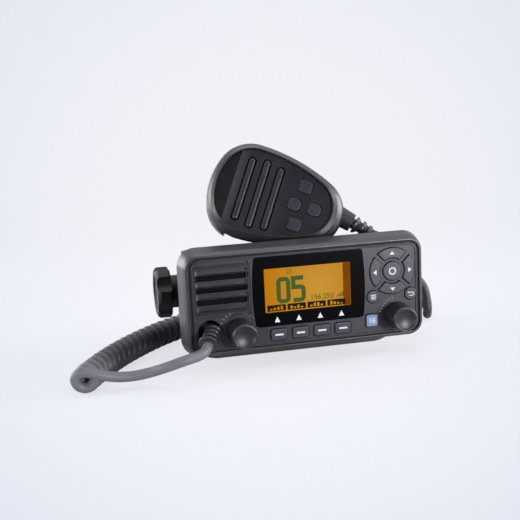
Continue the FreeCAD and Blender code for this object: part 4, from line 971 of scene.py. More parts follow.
@dataclass
class Studio:
    """Camera, lamps, the pale surroundings and the pale floor, with places in metres."""

    camera_at: Point3 = (-0.15305, -0.61118, 0.17894)
    camera_turn: Point3 = (79.32101, 2.72414, -12.85588)
    focal_length: float = 64.242
    sensor_width: float = 36.0
    lamps: Sequence[Lamp] = (
        Lamp("front_right", (0.50, -1.15, 0.16), (0.0, 0.0, 0.05), (0.30, 0.25), 10.5),
        Lamp("front_left", (-0.80, -1.15, 0.14), (-0.05, 0.0, 0.05), (0.25, 0.25), 4.0),
        Lamp("overhead", (0.1, 0.15, 1.4), (0.0, 0.0, 0.05), (1.4, 1.1), 8.0),
        Lamp("left", (-1.15, -0.25, 0.35), (-0.05, 0.0, 0.05), (0.25, 0.7), 5.0),
        Lamp("left_behind", (-1.0, 0.7, 0.3), (-0.05, 0.0, 0.05), (1.0, 0.6), 12.0),
        Lamp("right", (1.15, -0.15, 0.40), (0.05, 0.0, 0.05), (0.45, 0.75), 13.0),
    )
    middle: Point3 = (241, 242, 248)
    edge: Point3 = (224, 227, 237)
    ahead: Point3 = (0.2201, 0.9642, -0.1478)
    soft_light: Point3 = (246, 247, 252)
    soft_level: float = 0.34
    opening: Point3 = (-0.2, -0.95, 0.2)
    opening_level: float = 0.06
    floor_size: float = 16.0
    floor_glow: float = 0.78
    shadow_reach: Point = (0.15, 0.6)
    dimmed_from_front: Point = (0.04, 0.14)
    dimmed_from_left: Point = (-0.02, 0.22)
    dimmed_level: float = 0.12

    def camera(self) -> None:
        """Add the camera and make it the scene's own."""
        data = bpy.data.cameras.new("camera")
        data.lens = self.focal_length
        data.sensor_width = self.sensor_width
        data.clip_start = 0.01
        camera = bpy.data.objects.new("camera", data)
        camera.location = self.camera_at
        camera.rotation_euler = [math.radians(angle) for angle in self.camera_turn]
        bpy.context.scene.collection.objects.link(camera)
        bpy.context.scene.camera = camera
        LOG.info("camera placed")

    def light(self) -> None:
        """Place a low main lamp in front on the right, a wide one above and tall ones at the sides."""
        for lamp in self.lamps:
            lamp.build()
        LOG.info("lamps placed")

    def tint(self, tree: NodeTree, direction: bpy.types.NodeSocket) -> bpy.types.NodeSocket:
        """The surroundings' colour in a direction: a little darker away from the middle."""
        share = tree.ramp(tree.dot(direction, self.ahead), 0.915, 0.99, 0.0, 1.0)
        return tree.mix(share, linear(*self.edge), linear(*self.middle))

    @staticmethod
    def seen(tree: NodeTree, path: bpy.types.Node) -> bpy.types.NodeSocket:
        """A mask for what the camera sees, directly or through something clear."""
        return tree.math("MAXIMUM", path.outputs["Is Camera Ray"], path.outputs["Is Transmission Ray"])

    def world(self) -> None:
        """Pale surroundings, darker only in front, where the room opens; they also light softly."""
        world = bpy.data.worlds.new("surroundings")
        bpy.context.scene.world = world
        world.use_nodes = True
        tree = NodeTree(world.node_tree)
        output = world.node_tree.nodes["World Output"]
        world.node_tree.nodes.remove(world.node_tree.nodes["Background"])
        path = tree.add("LightPath")
        direction = tree.add("TexCoord").outputs["Generated"]
        tent = tree.ramp(tree.dot(direction, self.opening), 0.45, 0.95, 1.0, self.opening_level)
        lit = tree.add("Background", {}, {"Color": linear(*self.soft_light),
                                          "Strength": self.soft_level})
        glossy = tree.add("Background", {}, {"Color": linear(*self.middle), "Strength": tent})
        shown = tree.add("Background", {}, {"Color": self.tint(tree, direction), "Strength": 1.0})
        soft = tree.add("MixShader", {}, {0: path.outputs["Is Glossy Ray"], 1: lit.outputs[0],
                                          2: glossy.outputs[0]})
        both = tree.add("MixShader", {}, {0: self.seen(tree, path), 1: soft.outputs[0],
                                          2: shown.outputs[0]})
        world.node_tree.links.new(both.outputs[0], output.inputs["Surface"])

    def floor_material(self) -> bpy.types.Material:
        """The floor's material: its shadow stays near the radio and fades into the surroundings.

        Returns:
            The material.
        """
        material = bpy.data.materials.new("pale_floor")
        material.use_nodes = True
        tree = NodeTree(material.node_tree)
        shader = material.node_tree.nodes["Principled BSDF"]
        output = material.node_tree.nodes["Material Output"]
        coordinate = tree.add("TexCoord").outputs["Object"]
        away = tree.add("VectorMath", {"operation": "LENGTH"}, {0: coordinate}).outputs["Value"]
        offset = tree.add("VectorMath", {"operation": "SUBTRACT"}, {0: coordinate, 1: self.camera_at})
        sight = tree.add("VectorMath", {"operation": "NORMALIZE"}, {0: offset.outputs[0]})
        tint = self.tint(tree, sight.outputs[0])
        material.node_tree.links.new(tint, shader.inputs["Base Color"])
        shader.inputs["Roughness"].default_value = 0.9
        shader.inputs["Specular IOR Level"].default_value = 0.0
        path = tree.add("LightPath")
        glow = tree.add("Emission", {}, {"Color": tint, "Strength": 1.0})
        share = tree.math("MULTIPLY", tree.ramp(away, *self.shadow_reach, self.floor_glow, 1.0),
                          self.seen(tree, path))
        ahead = tree.ramp(tree.dot(coordinate, (0.0, -1.0, 0.0)), *self.dimmed_from_front, 0.0, 1.0)
        leftward = tree.ramp(tree.dot(coordinate, (1.0, 0.0, 0.0)), *self.dimmed_from_left, 1.0, 0.0)
        dim = tree.math("MULTIPLY", tree.math("MULTIPLY", ahead, leftward),
                        path.outputs["Is Glossy Ray"])
        shade = tree.add("Emission", {}, {"Color": linear(*self.edge), "Strength": self.dimmed_level})
        under = tree.add("MixShader", {}, {0: dim, 1: shader.outputs[0], 2: shade.outputs[0]})
        mixed = tree.add("MixShader", {}, {0: share, 1: under.outputs[0], 2: glow.outputs[0]})
        material.node_tree.links.new(mixed.outputs[0], output.inputs["Surface"])
        return material

    def floor(self) -> None:
        """Lay a wide pale floor."""
        bpy.ops.object.select_all(action="DESELECT")
        bpy.ops.mesh.primitive_plane_add(size=1.0)
        floor = bpy.context.object
        floor.name = floor.data.name = "studio_floor"
        floor.data.transform(Matrix.Scale(self.floor_size, 4))
        floor.data.materials.append(self.floor_material())
        LOG.info("floor laid")

    def build(self) -> None:
        """Set the whole studio up."""
        self.camera()
        self.light()
        self.world()
        self.floor()
        bpy.context.scene.view_settings.view_transform = "Standard"


# ---------------------------------------------------------------- cord
@dataclass
class CurlyCord:
    """The microphone's cord: a plain tail, the curly length, and the lead up to the microphone."""

    diameter: float = 6.5
    coil_radius: float = 5.75
    pitch: float = 7.3
    steps: int = 16
    part_turn: float = 0.25
    tail_route: Sequence[Point3] = (
        (-67.6, -59.4, 21.8), (-69.7, -63.5, 19.4), (-74.6, -67.8, 17.9), (-84.9, -71.7, 17.0),
        (-94.9, -69.9, 13.8), (-104.2, -63.0, 9.6), (-114.7, -60.4, 7.5), (-125.8, -61.6, 8.4),
        (-135.5, -63.4, 11.5), (-140.6, -63.3, 13.55), (-144.6, -63.2, 14.4),
    )
    coil_route: Sequence[Point3] = (
        (-146.0, -64.0, 9.1), (-132.0, -32.0, 9.1), (-108.0, 5.0, 9.1), (-79.0, 38.0, 9.1),
        (-42.0, 63.0, 9.1), (3.0, 73.0, 9.1), (48.0, 67.0, 9.1), (84.0, 49.0, 9.1),
        (115.0, 25.0, 9.1),
    )
    riser_route: Sequence[Point3] = (
        (111.4, 21.3, 15.5), (110.4, 24.4, 26.0), (102.075, 26.6, 34.875), (98.2, 27.6, 40.0),
    )
    upper_route: Sequence[Point3] = (
        (98.2, 27.6, 40.0), (95.1, 28.4, 44.1), (88.9, 27.6, 52.5), (84.1, 22.5, 60.0),
        (82.3, 14.5, 65.2), (82.8, 5.9, 67.1), (85.3, -4.4, 69.3), (82.1, -13.4, 71.2),
        (77.0, -18.5, 73.0), (70.7, -21.4, 73.5), (64.8, -22.0, 73.5), (59.3, -19.6, 73.3),
        (54.7, -17.8, 76.2),
    )
    riser_bend: Point3 = (111.4, 21.3, 16.0)
    first_centre: Point3 = (-145.2, -63.4, 9.05)
    entry_angle: float = 0.1
    entry_lift: float = -0.37
    lead_in: float = 0.9

    @staticmethod
    def metres(point: Point3) -> Point3:
        """A point in metres."""
        return tuple(part * MM for part in point)

    def curve(self, name: str, route: Sequence[Point3], radius: float) -> bpy.types.Object:
        """A line along a route in millimetres, coarser along its length where its points are dense."""
        along = 3 if len(route) > 60 else 10
        return strand(name, [self.metres(point) for point in route], radius * MM, along, 6)

    def centre_line(self, route: Sequence[Point3]) -> list[Point3]:
        """The line that a cord along a route follows.

        Args:
            route: Its control points in millimetres.

        Returns:
            The line's points in metres.
        """
        line = self.curve("centre_line", route, 0.0)
        graph = bpy.context.evaluated_depsgraph_get()
        mesh = bpy.data.meshes.new_from_object(line.evaluated_get(graph))
        points = [tuple(vertex.co) for vertex in mesh.vertices]
        bpy.data.meshes.remove(mesh)
        bpy.data.objects.remove(line)
        return points

    @staticmethod
    def length_of(points: Sequence[Point3]) -> float:
        """The length of a line through points."""
        return sum((Vector(b) - Vector(a)).length for a, b in zip(points, points[1:]))

    def helix(self) -> list[Point3]:
        """Wind the curly length about the line that it lies along.

        The tail runs into the first turn along the turn's own direction.

        Returns:
            The control points of the windings in millimetres.
        """
        line = [Vector(point) / MM for point in self.centre_line(self.coil_route)]
        line[0] = Vector(self.first_centre)
        reach = [0.0]
        for before, after in zip(line, line[1:]):
            reach.append(reach[-1] + (after - before).length)
        turns = round(reach[-1] / self.pitch) - self.part_turn
        count = int(turns * self.steps)
        points: list[Point3] = []
        segment = 0
        for index in range(1, count + 1):
            along = reach[-1] * index / count
            while segment < len(line) - 2 and reach[segment + 1] < along:
                segment += 1
            share = (along - reach[segment]) / (reach[segment + 1] - reach[segment])
            centre = line[segment].lerp(line[segment + 1], min(1.0, share))
            tangent = (line[segment + 1] - line[segment]).normalized()
            entry = max(0.0, 1 - along / self.pitch)
            leftward = Vector((-tangent.y, tangent.x, 0.0)).lerp(Vector((-1, 0, 0)), entry).normalized()
            angle = 2 * math.pi * turns * index / count - self.entry_angle * entry
            radius = self.coil_radius + self.entry_lift * max(0.0, 1 - 4 * along / self.pitch)
            offset = Vector((0, 0, math.cos(angle))) + leftward * math.sin(angle)
            points.append(tuple(centre + offset * radius))
        return points

    def windings(self) -> tuple[list[Point3], list[Point3]]:
        """Part the helix between the coil, which lies still, and the lower lead, which rises from it.

        Returns:
            The control points of the coil and those of the lower lead, in millimetres.
        """
        winding = self.helix()
        kept = len(winding) - self.steps
        joint = tuple((Vector(winding[kept - 1]) + Vector(winding[kept])) / 2)
        tail_end = Vector(self.tail_route[-1])
        lead_in = tail_end + (tail_end - Vector(self.tail_route[-2])).normalized() * self.lead_in
        coil = [tuple(tail_end), tuple(lead_in)] + winding[:kept] + [joint]
        return coil, [joint] + winding[kept:] + list(self.riser_route)

    def tube(self, name: str, route: Sequence[Point3]) -> bpy.types.Object:
        """A cord along a route as a mesh.

        Args:
            name: The piece's name.
            route: Its control points in millimetres.

        Returns:
            The piece.
        """
        piece = meshed(self.curve(name, route, self.diameter / 2))
        bpy.ops.object.mode_set(mode="EDIT")
        bpy.ops.mesh.select_all(action="SELECT")
        bpy.ops.mesh.remove_doubles(threshold=1e-6)
        bpy.ops.mesh.normals_make_consistent(inside=False)
        bpy.ops.object.mode_set(mode="OBJECT")
        bpy.ops.object.shade_smooth_by_angle(angle=math.radians(50.0))
        return piece

    @staticmethod
    def dress(piece: bpy.types.Object, node: str, palette: Palette) -> None:
        """Give a run its rubber.

        Args:
            piece: The run.
            node: The solid that it stands for.
            palette: The materials.
        """
        piece.data.materials.append(palette["cord_rubber"])
        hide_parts(node)

    def declare(self, piece: bpy.types.Object, route: Sequence[Point3]) -> float:
        """Args:
            piece: The run.
            route: Its control points in millimetres.

        Returns:
            Its length in metres.
        """
        points = self.centre_line(route)
        length = self.length_of(points)
        LOG.info("%s is %.3f m long", piece.name, length)
        return length

    def build(self, palette: Palette) -> None:
        """Make the four runs.

        Args:
            palette: The materials.
        """
        coil_points, lower_points = self.windings()
        tail = self.tube("cord_tail_run", self.tail_route)
        self.dress(tail, "cord_tail", palette)
        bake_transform(tail)
        # The coil is dressed before it rides: a curve dressed later keeps an outdated bounding box.
        coil = self.curve("cord_coil_run", coil_points, self.diameter / 2)
        self.dress(coil, "cord_coil", palette)
        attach(coil, "bracket")
        lower = self.tube("mic_lead_lower_run", lower_points)
        self.dress(lower, "mic_lead_lower", palette)
        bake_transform(lower)
        upper = self.tube("mic_lead_upper_run", self.upper_route)
        self.dress(upper, "mic_lead_upper", palette)
        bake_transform(upper)
        runs = ((tail, self.tail_route), (coil, coil_points), (lower, lower_points),
                (upper, self.upper_route))
        total = sum(self.declare(piece, route) for piece, route in runs)
        LOG.info("the cord is %.2f m long in all", total)


# ---------------------------------------------------------------- refined solids
@dataclass(frozen=True)
class RefinedPart:
    """A part that shows as a copy of its solid with rounded edges."""

    node: str
    body: str
    slot: str
    finish: str
    edge: float
    segments: int = 3
    angle: float = 30.0

    def build(self, palette: Palette) -> None:
        """Refine the solid and dress the copy."""
        piece = refined(self.node, self.edge, self.segments, self.angle)
        hand_over(piece, self.body, self.slot, palette[self.finish], self.node)


# ---------------------------------------------------------------- front housing
@dataclass
class FrontHousing:
    """The bezel that frames the front plate, and the seal between them.

    The skin's points are growth beyond the outline, depth and rounding; each ring inside the
    opening is half width, half height, corner radius and depth.
    """

    half_width: float = 78.0
    half_height: float = 32.0
    corner: float = 8.4
    skin: Sequence[Point3] = (
        (2.2, 16.2, 0.0), (3.8, 13.6, 1.3), (1.4, 2.9, 1.2), (0.0, 0.0, 0.5), (-1.3, 0.0, 0.3),
        (-1.7, 0.6, 0.0),
    )
    inside: Sequence[tuple[float, float, float, float]] = (
        (76.3, 30.3, 6.7, 3.6), (75.0, 27.4, 4.0, 3.6), (75.0, 27.4, 4.0, 13.8),
        (64.0, 20.0, 3.0, 13.8), (64.0, 20.0, 3.0, 16.2),
    )
    seal: RefinedPart = RefinedPart("front_seal", "radio", "pad_rubber", "seal_rubber", 0.2, 2)

    def rim(self, growth: float, depth: float) -> Ring:
        """An outline of the bezel, offset outwards, at a depth behind the front."""
        outline = rounded(self.half_width + growth, self.half_height + growth, self.corner + growth)
        return level(outline, -depth)

    def build(self, palette: Palette) -> None:
        """Model the bezel from its outer skin through the opening to the rear wall.

        Args:
            palette: The materials.
        """
        rings = [self.rim(growth, depth) for growth, depth in eased(self.skin)]
        rings += [level(rounded(wide, high, corner), -depth) for wide, high, corner, depth in self.inside]
        bezel = stack("front_bezel", rings, Ends.JOINED)
        settle(bezel, PANEL)
        hand_over(bezel, "radio", "housing_plastic", palette["housing_moulding"], "front_housing")
        self.seal.build(palette)


# ---------------------------------------------------------------- front panel
@dataclass
class FrontPanel:
    """The plate with its louvres and ridges, and the black display window with what it shows.

    A louvre ring is half width, half height, corner radius and height.
    """

    plate: RefinedPart = RefinedPart("front_plate", "radio", "housing_plastic", "plate_moulding", 0.5)
    lens_at: Point = (1.3, 5.4)
    lens_half_width: float = 35.85
    lens_half_height: float = 22.75
    lens_corner: float = 2.4
    lens_bulge: float = 1.5
    lcd_at: Point = (0.3, 5.9)
    strip_x: float = 26.3
    label_at: Point = (-20.9, -5.6)
    label_pitch: float = 13.3
    symbols: Sequence[Sequence[float]] = (
        (1.0, 1.5, 2.0, 2.5), (2.0, 1.1, 2.0, 1.1), (1.2, 2.4, 2.4, 1.2), (2.5, 1.9, 1.3, 0.7),
    )
    mark_at: Point = (-20.7, -15.0)
    mark_half_width: float = 1.85
    mark_height: float = 3.6
    digit_stroke: float = 2.8
    digit_height: float = 0.32
    louvre_at: Point = (-55.6, 9.8)
    louvre_pitch: float = 7.75
    louvre_rings: Sequence[tuple[float, float, float, float]] = (
        (17.3, 2.15, 0.7, -0.85), (17.3, 2.15, 0.7, 0.15), (17.1, 1.95, 0.55, 0.4),
        (16.85, 1.75, 0.45, 0.42), (14.9, 1.25, 0.3, -0.35),
    )
    ridge_height: float = -0.08
    left_ridge: Sequence[Point] = (
        (-70.5, 28.3), (-55.0, 28.3), (-41.0, 28.3), (-38.0, 27.6), (-37.4, 24.0), (-38.4, 14.0),
        (-38.6, 2.0), (-37.4, -10.0), (-35.6, -18.0), (-34.6, -20.5),
    )

    def side_point(self, side: int, share: float) -> Point:
        """A point on a bulging side of the window, share of the half height above its middle."""
        reach = self.lens_half_width + self.lens_bulge * (1 - share**2)
        return (self.lens_at[0] + side * reach, self.lens_at[1] + share * self.lens_half_height)

    def lens_outline(self) -> list[Point]:
        """The window's outline: round corners, straight top and bottom, sides that bulge.

        Returns:
            The outline's points.
        """
        points = []
        for x, y in rounded(self.lens_half_width, self.lens_half_height, self.lens_corner):
            bulge = self.lens_bulge * max(0.0, 1 - (y / self.lens_half_height) ** 2)
            points.append((self.lens_at[0] + x + math.copysign(bulge, x), self.lens_at[1] + y))
        right = [self.side_point(1, share / 8) for share in range(-6, 7)]
        left = [self.side_point(-1, -share / 8) for share in range(-6, 7)]
        corner = len(points) // 4
        return points[:2 * corner] + left + points[2 * corner:] + right

    def louvres(self, palette: Palette) -> None:
        """Four bars with hollowed fronts that slope down towards their ends, copied from one.

        Args:
            palette: The materials.
        """
        model = stack("louvre_bar_4", [level(rounded(wide, high, corner), height)
                                       for wide, high, corner, height in self.louvre_rings])
        for index in range(1, 5):
            bar = model if index == 4 else copied(model, f"louvre_bar_{index}")
            rise = (index - 2.5) * self.louvre_pitch
            settle(bar, shifted(PANEL, self.louvre_at[0], self.louvre_at[1] + rise))
            hand_over(bar, "radio", "housing_plastic", palette["louvre_moulding"])
        self.louvre_field(palette)

    def louvre_field(self, palette: Palette) -> None:
        """A thin frame in painted shade round the bars, darker than the plate where the louvre recess lies
        in shade, open where the plate has its slots.

        Args:
            palette: The materials.
        """
        half_height = 2 * self.louvre_pitch
        outer = rounded(18.7, half_height, 0.9, *self.louvre_at)
        inner = rounded(17.2, half_height - 1.8, 0.6, *self.louvre_at)
        back, front = -0.1, 0.12
        surround = stack("louvre_frame", [level(outer, back), level(outer, front), level(inner, front),
                                          level(inner, back)], Ends.JOINED)
        settle(surround, PANEL)
        hand_over(surround, "radio", "housing_plastic", palette["recess_moulding"])

    def ridge(self, name: str, route: Sequence[Point], palette: Palette, radius: float = 0.32) -> None:
        """A fine raised line on the plate.

        Args:
            name: Its name.
            route: Its points on the plate.
            palette: The materials.
            radius: How thick it is.
        """
        piece = meshed(strand(name, level(route, self.ridge_height), radius, 6, 3))
        settle(piece, PANEL, 60.0)
        hand_over(piece, "radio", "housing_plastic", palette["plate_moulding"])

    def lit(self, name: str, outline: Sequence[Point], back: float, front: float, finish: str,
            palette: Palette) -> None:
        """A flat patch of the display.

        Args:
            name: Its name.
            outline: Its outline.
            back: Height of its back.
            front: Height of its front.
            finish: Its material.
            palette: The materials.
        """
        patch = slab(name, outline, back, front, 0.02, 1)
        settle(patch, PANEL)
        hand_over(patch, "radio", "display", palette[finish])

    def bars(self, name: str, at: Point, heights: Sequence[float], step: float, finish: str,
             palette: Palette) -> None:
        """A row of small upright bars on one foot line, as a level symbol.

        Args:
            name: Its name.
            at: Its lower left corner.
            heights: The height of each bar.
            step: Distance between the bars.
            finish: Its material.
            palette: The materials.
        """
        wide = step * 0.32
        strokes = [slab(f"{name}_{index}", rounded(wide, high / 2, 0.08, at[0] + wide + index * step,
                                                   at[1] + high / 2, 1), 0.25, 0.33, 0.01, 1)
                   for index, high in enumerate(heights)]
        symbol = joined(name, strokes)
        settle(symbol, PANEL)
        hand_over(symbol, "radio", "display", palette[finish])

    def display(self, palette: Palette) -> None:
        """The lens, and on it the lit window, its digits and the marks above the soft keys.

        Args:
            palette: The materials.
        """
        lens = slab("display_window", self.lens_outline(), -1.3, 0.2, 0.3)
        settle(lens, PANEL)
        hand_over(lens, "radio", "lens_plastic", palette["lens_black"], "lcd_lens")
        self.lit("lcd_screen", rounded(28.5, 14.2, 0.5, *self.lcd_at, 4), 0.05, 0.26, "lcd_glow",
                 palette)
        self.lit("lcd_side_strip", rounded(2.4, 14.1, 0.3, self.strip_x, self.lcd_at[1], 3), 0.2, 0.29,
                 "lcd_strip", palette)
        self.digits(palette)
        for index, heights in enumerate(self.symbols):
            middle = self.label_at[0] + self.label_pitch * index
            self.lit(f"lcd_label_{index + 1}", rounded(6.1, 2.0, 0.3, middle, self.label_at[1], 3),
                     0.2, 0.30, "lcd_label", palette)
            self.bars(f"lcd_symbol_{index + 1}", (middle - 4.2, self.label_at[1] - 1.3), heights, 2.3,
                      "lcd_glow", palette)
            self.soft_mark(index, palette)

    def soft_mark(self, index: int, palette: Palette) -> None:
        """A printed triangle that points from a soft key to its label.

        Args:
            index: Which soft key, from 0 at the left.
            palette: The materials.
        """
        x, foot = self.mark_at[0] + SOFT_KEY_PITCH * index, self.mark_at[1]
        triangle = [(x - self.mark_half_width, foot), (x + self.mark_half_width, foot),
                    (x, foot + self.mark_height)]
        mark = slab(f"soft_mark_{index + 1}", triangle, 0.15, 0.24, 0.02, 1)
        settle(mark, PANEL)
        hand_over(mark, "radio", "lens_plastic", palette["white_print"])

    def digits(self, palette: Palette) -> None:
        """The large channel number, two small numbers in thin strokes and a level symbol.

        Args:
            palette: The materials.
        """
        stroke, height = self.digit_stroke, self.digit_height
        zero = rounded(3.2, 7.2, 2.2, -15.9, 5.6, 6)
        five = [(-2.6, 12.8), (-9.3, 12.8), (-9.3, 6.9)]
        five += arc(-4.7, 4.9, 2.0, 90, -5, 5) + arc(-4.7, 0.4, 2.0, 5, -90, 5) + [(-9.5, -1.6)]
        pieces = [settle(flat_line("lcd_zero", zero, stroke, height, closed=True), PANEL),
                  settle(flat_line("lcd_five", five, stroke, height), PANEL),
                  lettered("lcd_power", "25", 3.9, shifted(PANEL, -13.8, 16.2, 0.29)),
                  lettered("lcd_frequency", "156.250", 4.9, shifted(PANEL, 1.6, -2.4, 0.29))]
        for piece in pieces:
            hand_over(piece, "radio", "display", palette["lcd_digit"])
        self.bars("lcd_level", (19.2, -2.2), (0.9, 1.7, 2.5, 3.3), 1.3, "lcd_digit", palette)

    def ticks(self, name: str, knob: Point, radius: float, start: float, end: float, count: int,
              palette: Palette) -> None:
        """Fine printed dial marks round a knob.

        Args:
            name: Their name.
            knob: The knob's middle on the panel.
            radius: Distance of their inner ends from it.
            start: Angle of the first in degrees.
            end: Angle of the last.
            count: How many there are.
            palette: The materials.
        """
        strokes = []
        for index in range(count):
            angle = math.radians(start + (end - start) * index / (count - 1))
            along = Vector((math.cos(angle), math.sin(angle)))
            inner, outer = Vector(knob) + along * radius, Vector(knob) + along * (radius + 1.5)
            strokes.append(flat_line(f"{name}_{index}", [tuple(inner), tuple(outer)], 0.45, 0.05))
        piece = joined(name, strokes)
        settle(piece, PANEL)
        hand_over(piece, "radio", "housing_plastic", palette["grey_print"])

    def build(self, palette: Palette) -> None:
        """Build the plate and all that is on it.

        Args:
            palette: The materials.
        """
        self.plate.build(palette)
        self.louvres(palette)
        self.ridge("plate_ridge_left", self.left_ridge, palette)
        self.ridge("knob_ridge", arc(*SQUELCH_AT, 11.4, 150, 35, 9), palette, 0.45)
        rim = rounded(73.9, 28.5, 5.0)
        self.ridge("plate_rim", rim + rim[:1], palette, 0.55)
        self.ticks("volume_ticks", VOLUME_AT, 11.2, 105, 165, 7, palette)
        self.ticks("squelch_ticks", SQUELCH_AT, 12.8, 118, 152, 4, palette)
        self.display(palette)


# ---------------------------------------------------------------- keys
@dataclass
class Keypad:
    """The push keys of the front panel with their white legends."""

    stand: float = 1.1
    root: float = -3.2
    print_rise: float = 0.05
    soft_at: Point = (-20.0, -23.1)
    pad_at: Point = (57.5, 11.5)
    petal_outer: float = 15.4
    petal_inner: float = 8.5
    petal_side: float = 1.35
    arrow_radius: float = 11.9
    centre_radius: float = 6.3
    side_radius: float = 4.2
    menu_at: Point = (44.0, -4.6)
    back_at: Point = (70.0, -4.7)
    channel_at: Point = (42.7, -20.3)

    def legend(self, name: str, outline: list[Point], body: str, place: Matrix,
               palette: Palette) -> None:
        """A printed white mark on a key.

        Args:
            name: Its name.
            outline: Its outline.
            body: The key that it is on.
            place: Where its outline's origin goes.
            palette: The materials.
        """
        mark = stack(name, [level(outline, self.stand - self.print_rise),
                            level(outline, self.stand + self.print_rise)])
        settle(mark, place)
        hand_over(mark, body, "key_rubber", palette["white_print"])

    def soft_keys(self, palette: Palette) -> None:
        """Four keys in a row below the display.

        Args:
            palette: The materials.
        """
        model = slab("soft_key_cap", rounded(5.6, 3.7, 1.7), self.root, self.stand, 0.75, 4)
        for index in range(4):
            node = f"soft_key_{index + 1}"
            key = copied(model, f"{node}_cap")
            place = shifted(PANEL, self.soft_at[0] + SOFT_KEY_PITCH * index, self.soft_at[1])
            settle(key, place)
            hand_over(key, node, "key_rubber", palette["key_moulding"], node)
            self.legend(f"{node}_dash", rounded(2.7, 0.55, 0.12, steps=2), node, place, palette)
        bpy.data.objects.remove(model)

    def direction_keys(self, palette: Palette) -> None:
        """Four petals round a centre key, each with a small arrow head.

        Args:
            palette: The materials.
        """
        outline = petal(self.petal_outer, self.petal_inner, self.petal_side)
        model = slab("petal_cap", outline, self.root, self.stand, 0.7, 4)
        arrow = [(-1.75, -0.95), (1.75, -0.95), (0.0, 1.25)]
        for name, turn in (("up", 0), ("right", -90), ("down", 180), ("left", 90)):
            node = f"key_{name}"
            place = shifted(PANEL, *self.pad_at, 0.0, turn)
            key = copied(model, f"{node}_cap")
            settle(key, place)
            hand_over(key, node, "key_rubber", palette["key_moulding"], node)
            self.legend(f"{node}_arrow", arrow, node, shifted(place, 0.0, self.arrow_radius), palette)
        bpy.data.objects.remove(model)

    def round_keys(self, palette: Palette) -> None:
        """The centre key, the menu key and the back key.

        Args:
            palette: The materials.
        """
        for node, radius, at in (("key_ok", self.centre_radius, self.pad_at),
                                 ("key_menu", self.side_radius, self.menu_at),
                                 ("key_back", self.side_radius, self.back_at)):
            key = slab(f"{node}_cap", circle(radius, count=56), self.root, self.stand, 0.6, 4)
            settle(key, shifted(PANEL, *at))
            hand_over(key, node, "key_rubber", palette["key_moulding"], node)
        outer, inner = circle(2.5, count=40), circle(1.7, count=40)
        low, high = self.stand - self.print_rise, self.stand + self.print_rise
        mark = stack("key_ok_ring", [level(outer, high), level(inner, high), level(inner, low),
                                     level(outer, low)], Ends.JOINED)
        settle(mark, shifted(PANEL, *self.pad_at))
        hand_over(mark, "key_ok", "key_rubber", palette["white_print"])
        for index in range(3):
            self.legend(f"key_menu_bar_{index + 1}", rounded(1.7, 0.3, 0.1, 0.0, 1.2 * (index - 1), 2),
                        "key_menu", shifted(PANEL, *self.menu_at), palette)
        self.back_mark(palette)

    def back_mark(self, palette: Palette) -> None:
        """A bent arrow that points back.

        Args:
            palette: The materials.
        """
        place = shifted(PANEL, *self.back_at)
        route = [(-1.6, 0.9), (0.9, 0.9)] + arc(0.9, -0.15, 1.05, 80, -90, 6) + [(-1.2, -1.2)]
        mark = flat_line("key_back_bend", route, 0.55, self.stand + self.print_rise)
        settle(mark, place)
        hand_over(mark, "key_back", "key_rubber", palette["white_print"])
        head = [(-2.4, 0.9), (-1.3, 0.05), (-1.3, 1.75)]
        self.legend("key_back_head", head, "key_back", place, palette)

    def channel_key(self, palette: Palette) -> None:
        """The backlit square key in its dark frame.

        Args:
            palette: The materials.
        """
        place = shifted(PANEL, *self.channel_at)
        key = slab("key_channel_frame", rounded(4.3, 4.3, 1.4), self.root, self.stand, 0.5, 3)
        settle(key, place)
        hand_over(key, "key_channel", "key_blue", palette["key_moulding"], "key_channel")
        lit = slab("key_channel_lens", rounded(3.75, 3.75, 1.0), 0.6, self.stand + 0.12, 0.25, 3)
        settle(lit, place)
        hand_over(lit, "key_channel", "key_blue", palette["channel_glow"])
        digits = lettered("key_channel_digits", "16", 5.2,
                          shifted(PANEL, *self.channel_at, self.stand + 0.13), True)
        hand_over(digits, "key_channel", "key_blue", palette["white_print"])

    def build(self, palette: Palette) -> None:
        """Build every key.

        Args:
            palette: The materials.
        """
        self.soft_keys(palette)
        self.direction_keys(palette)
        self.round_keys(palette)
        self.channel_key(palette)


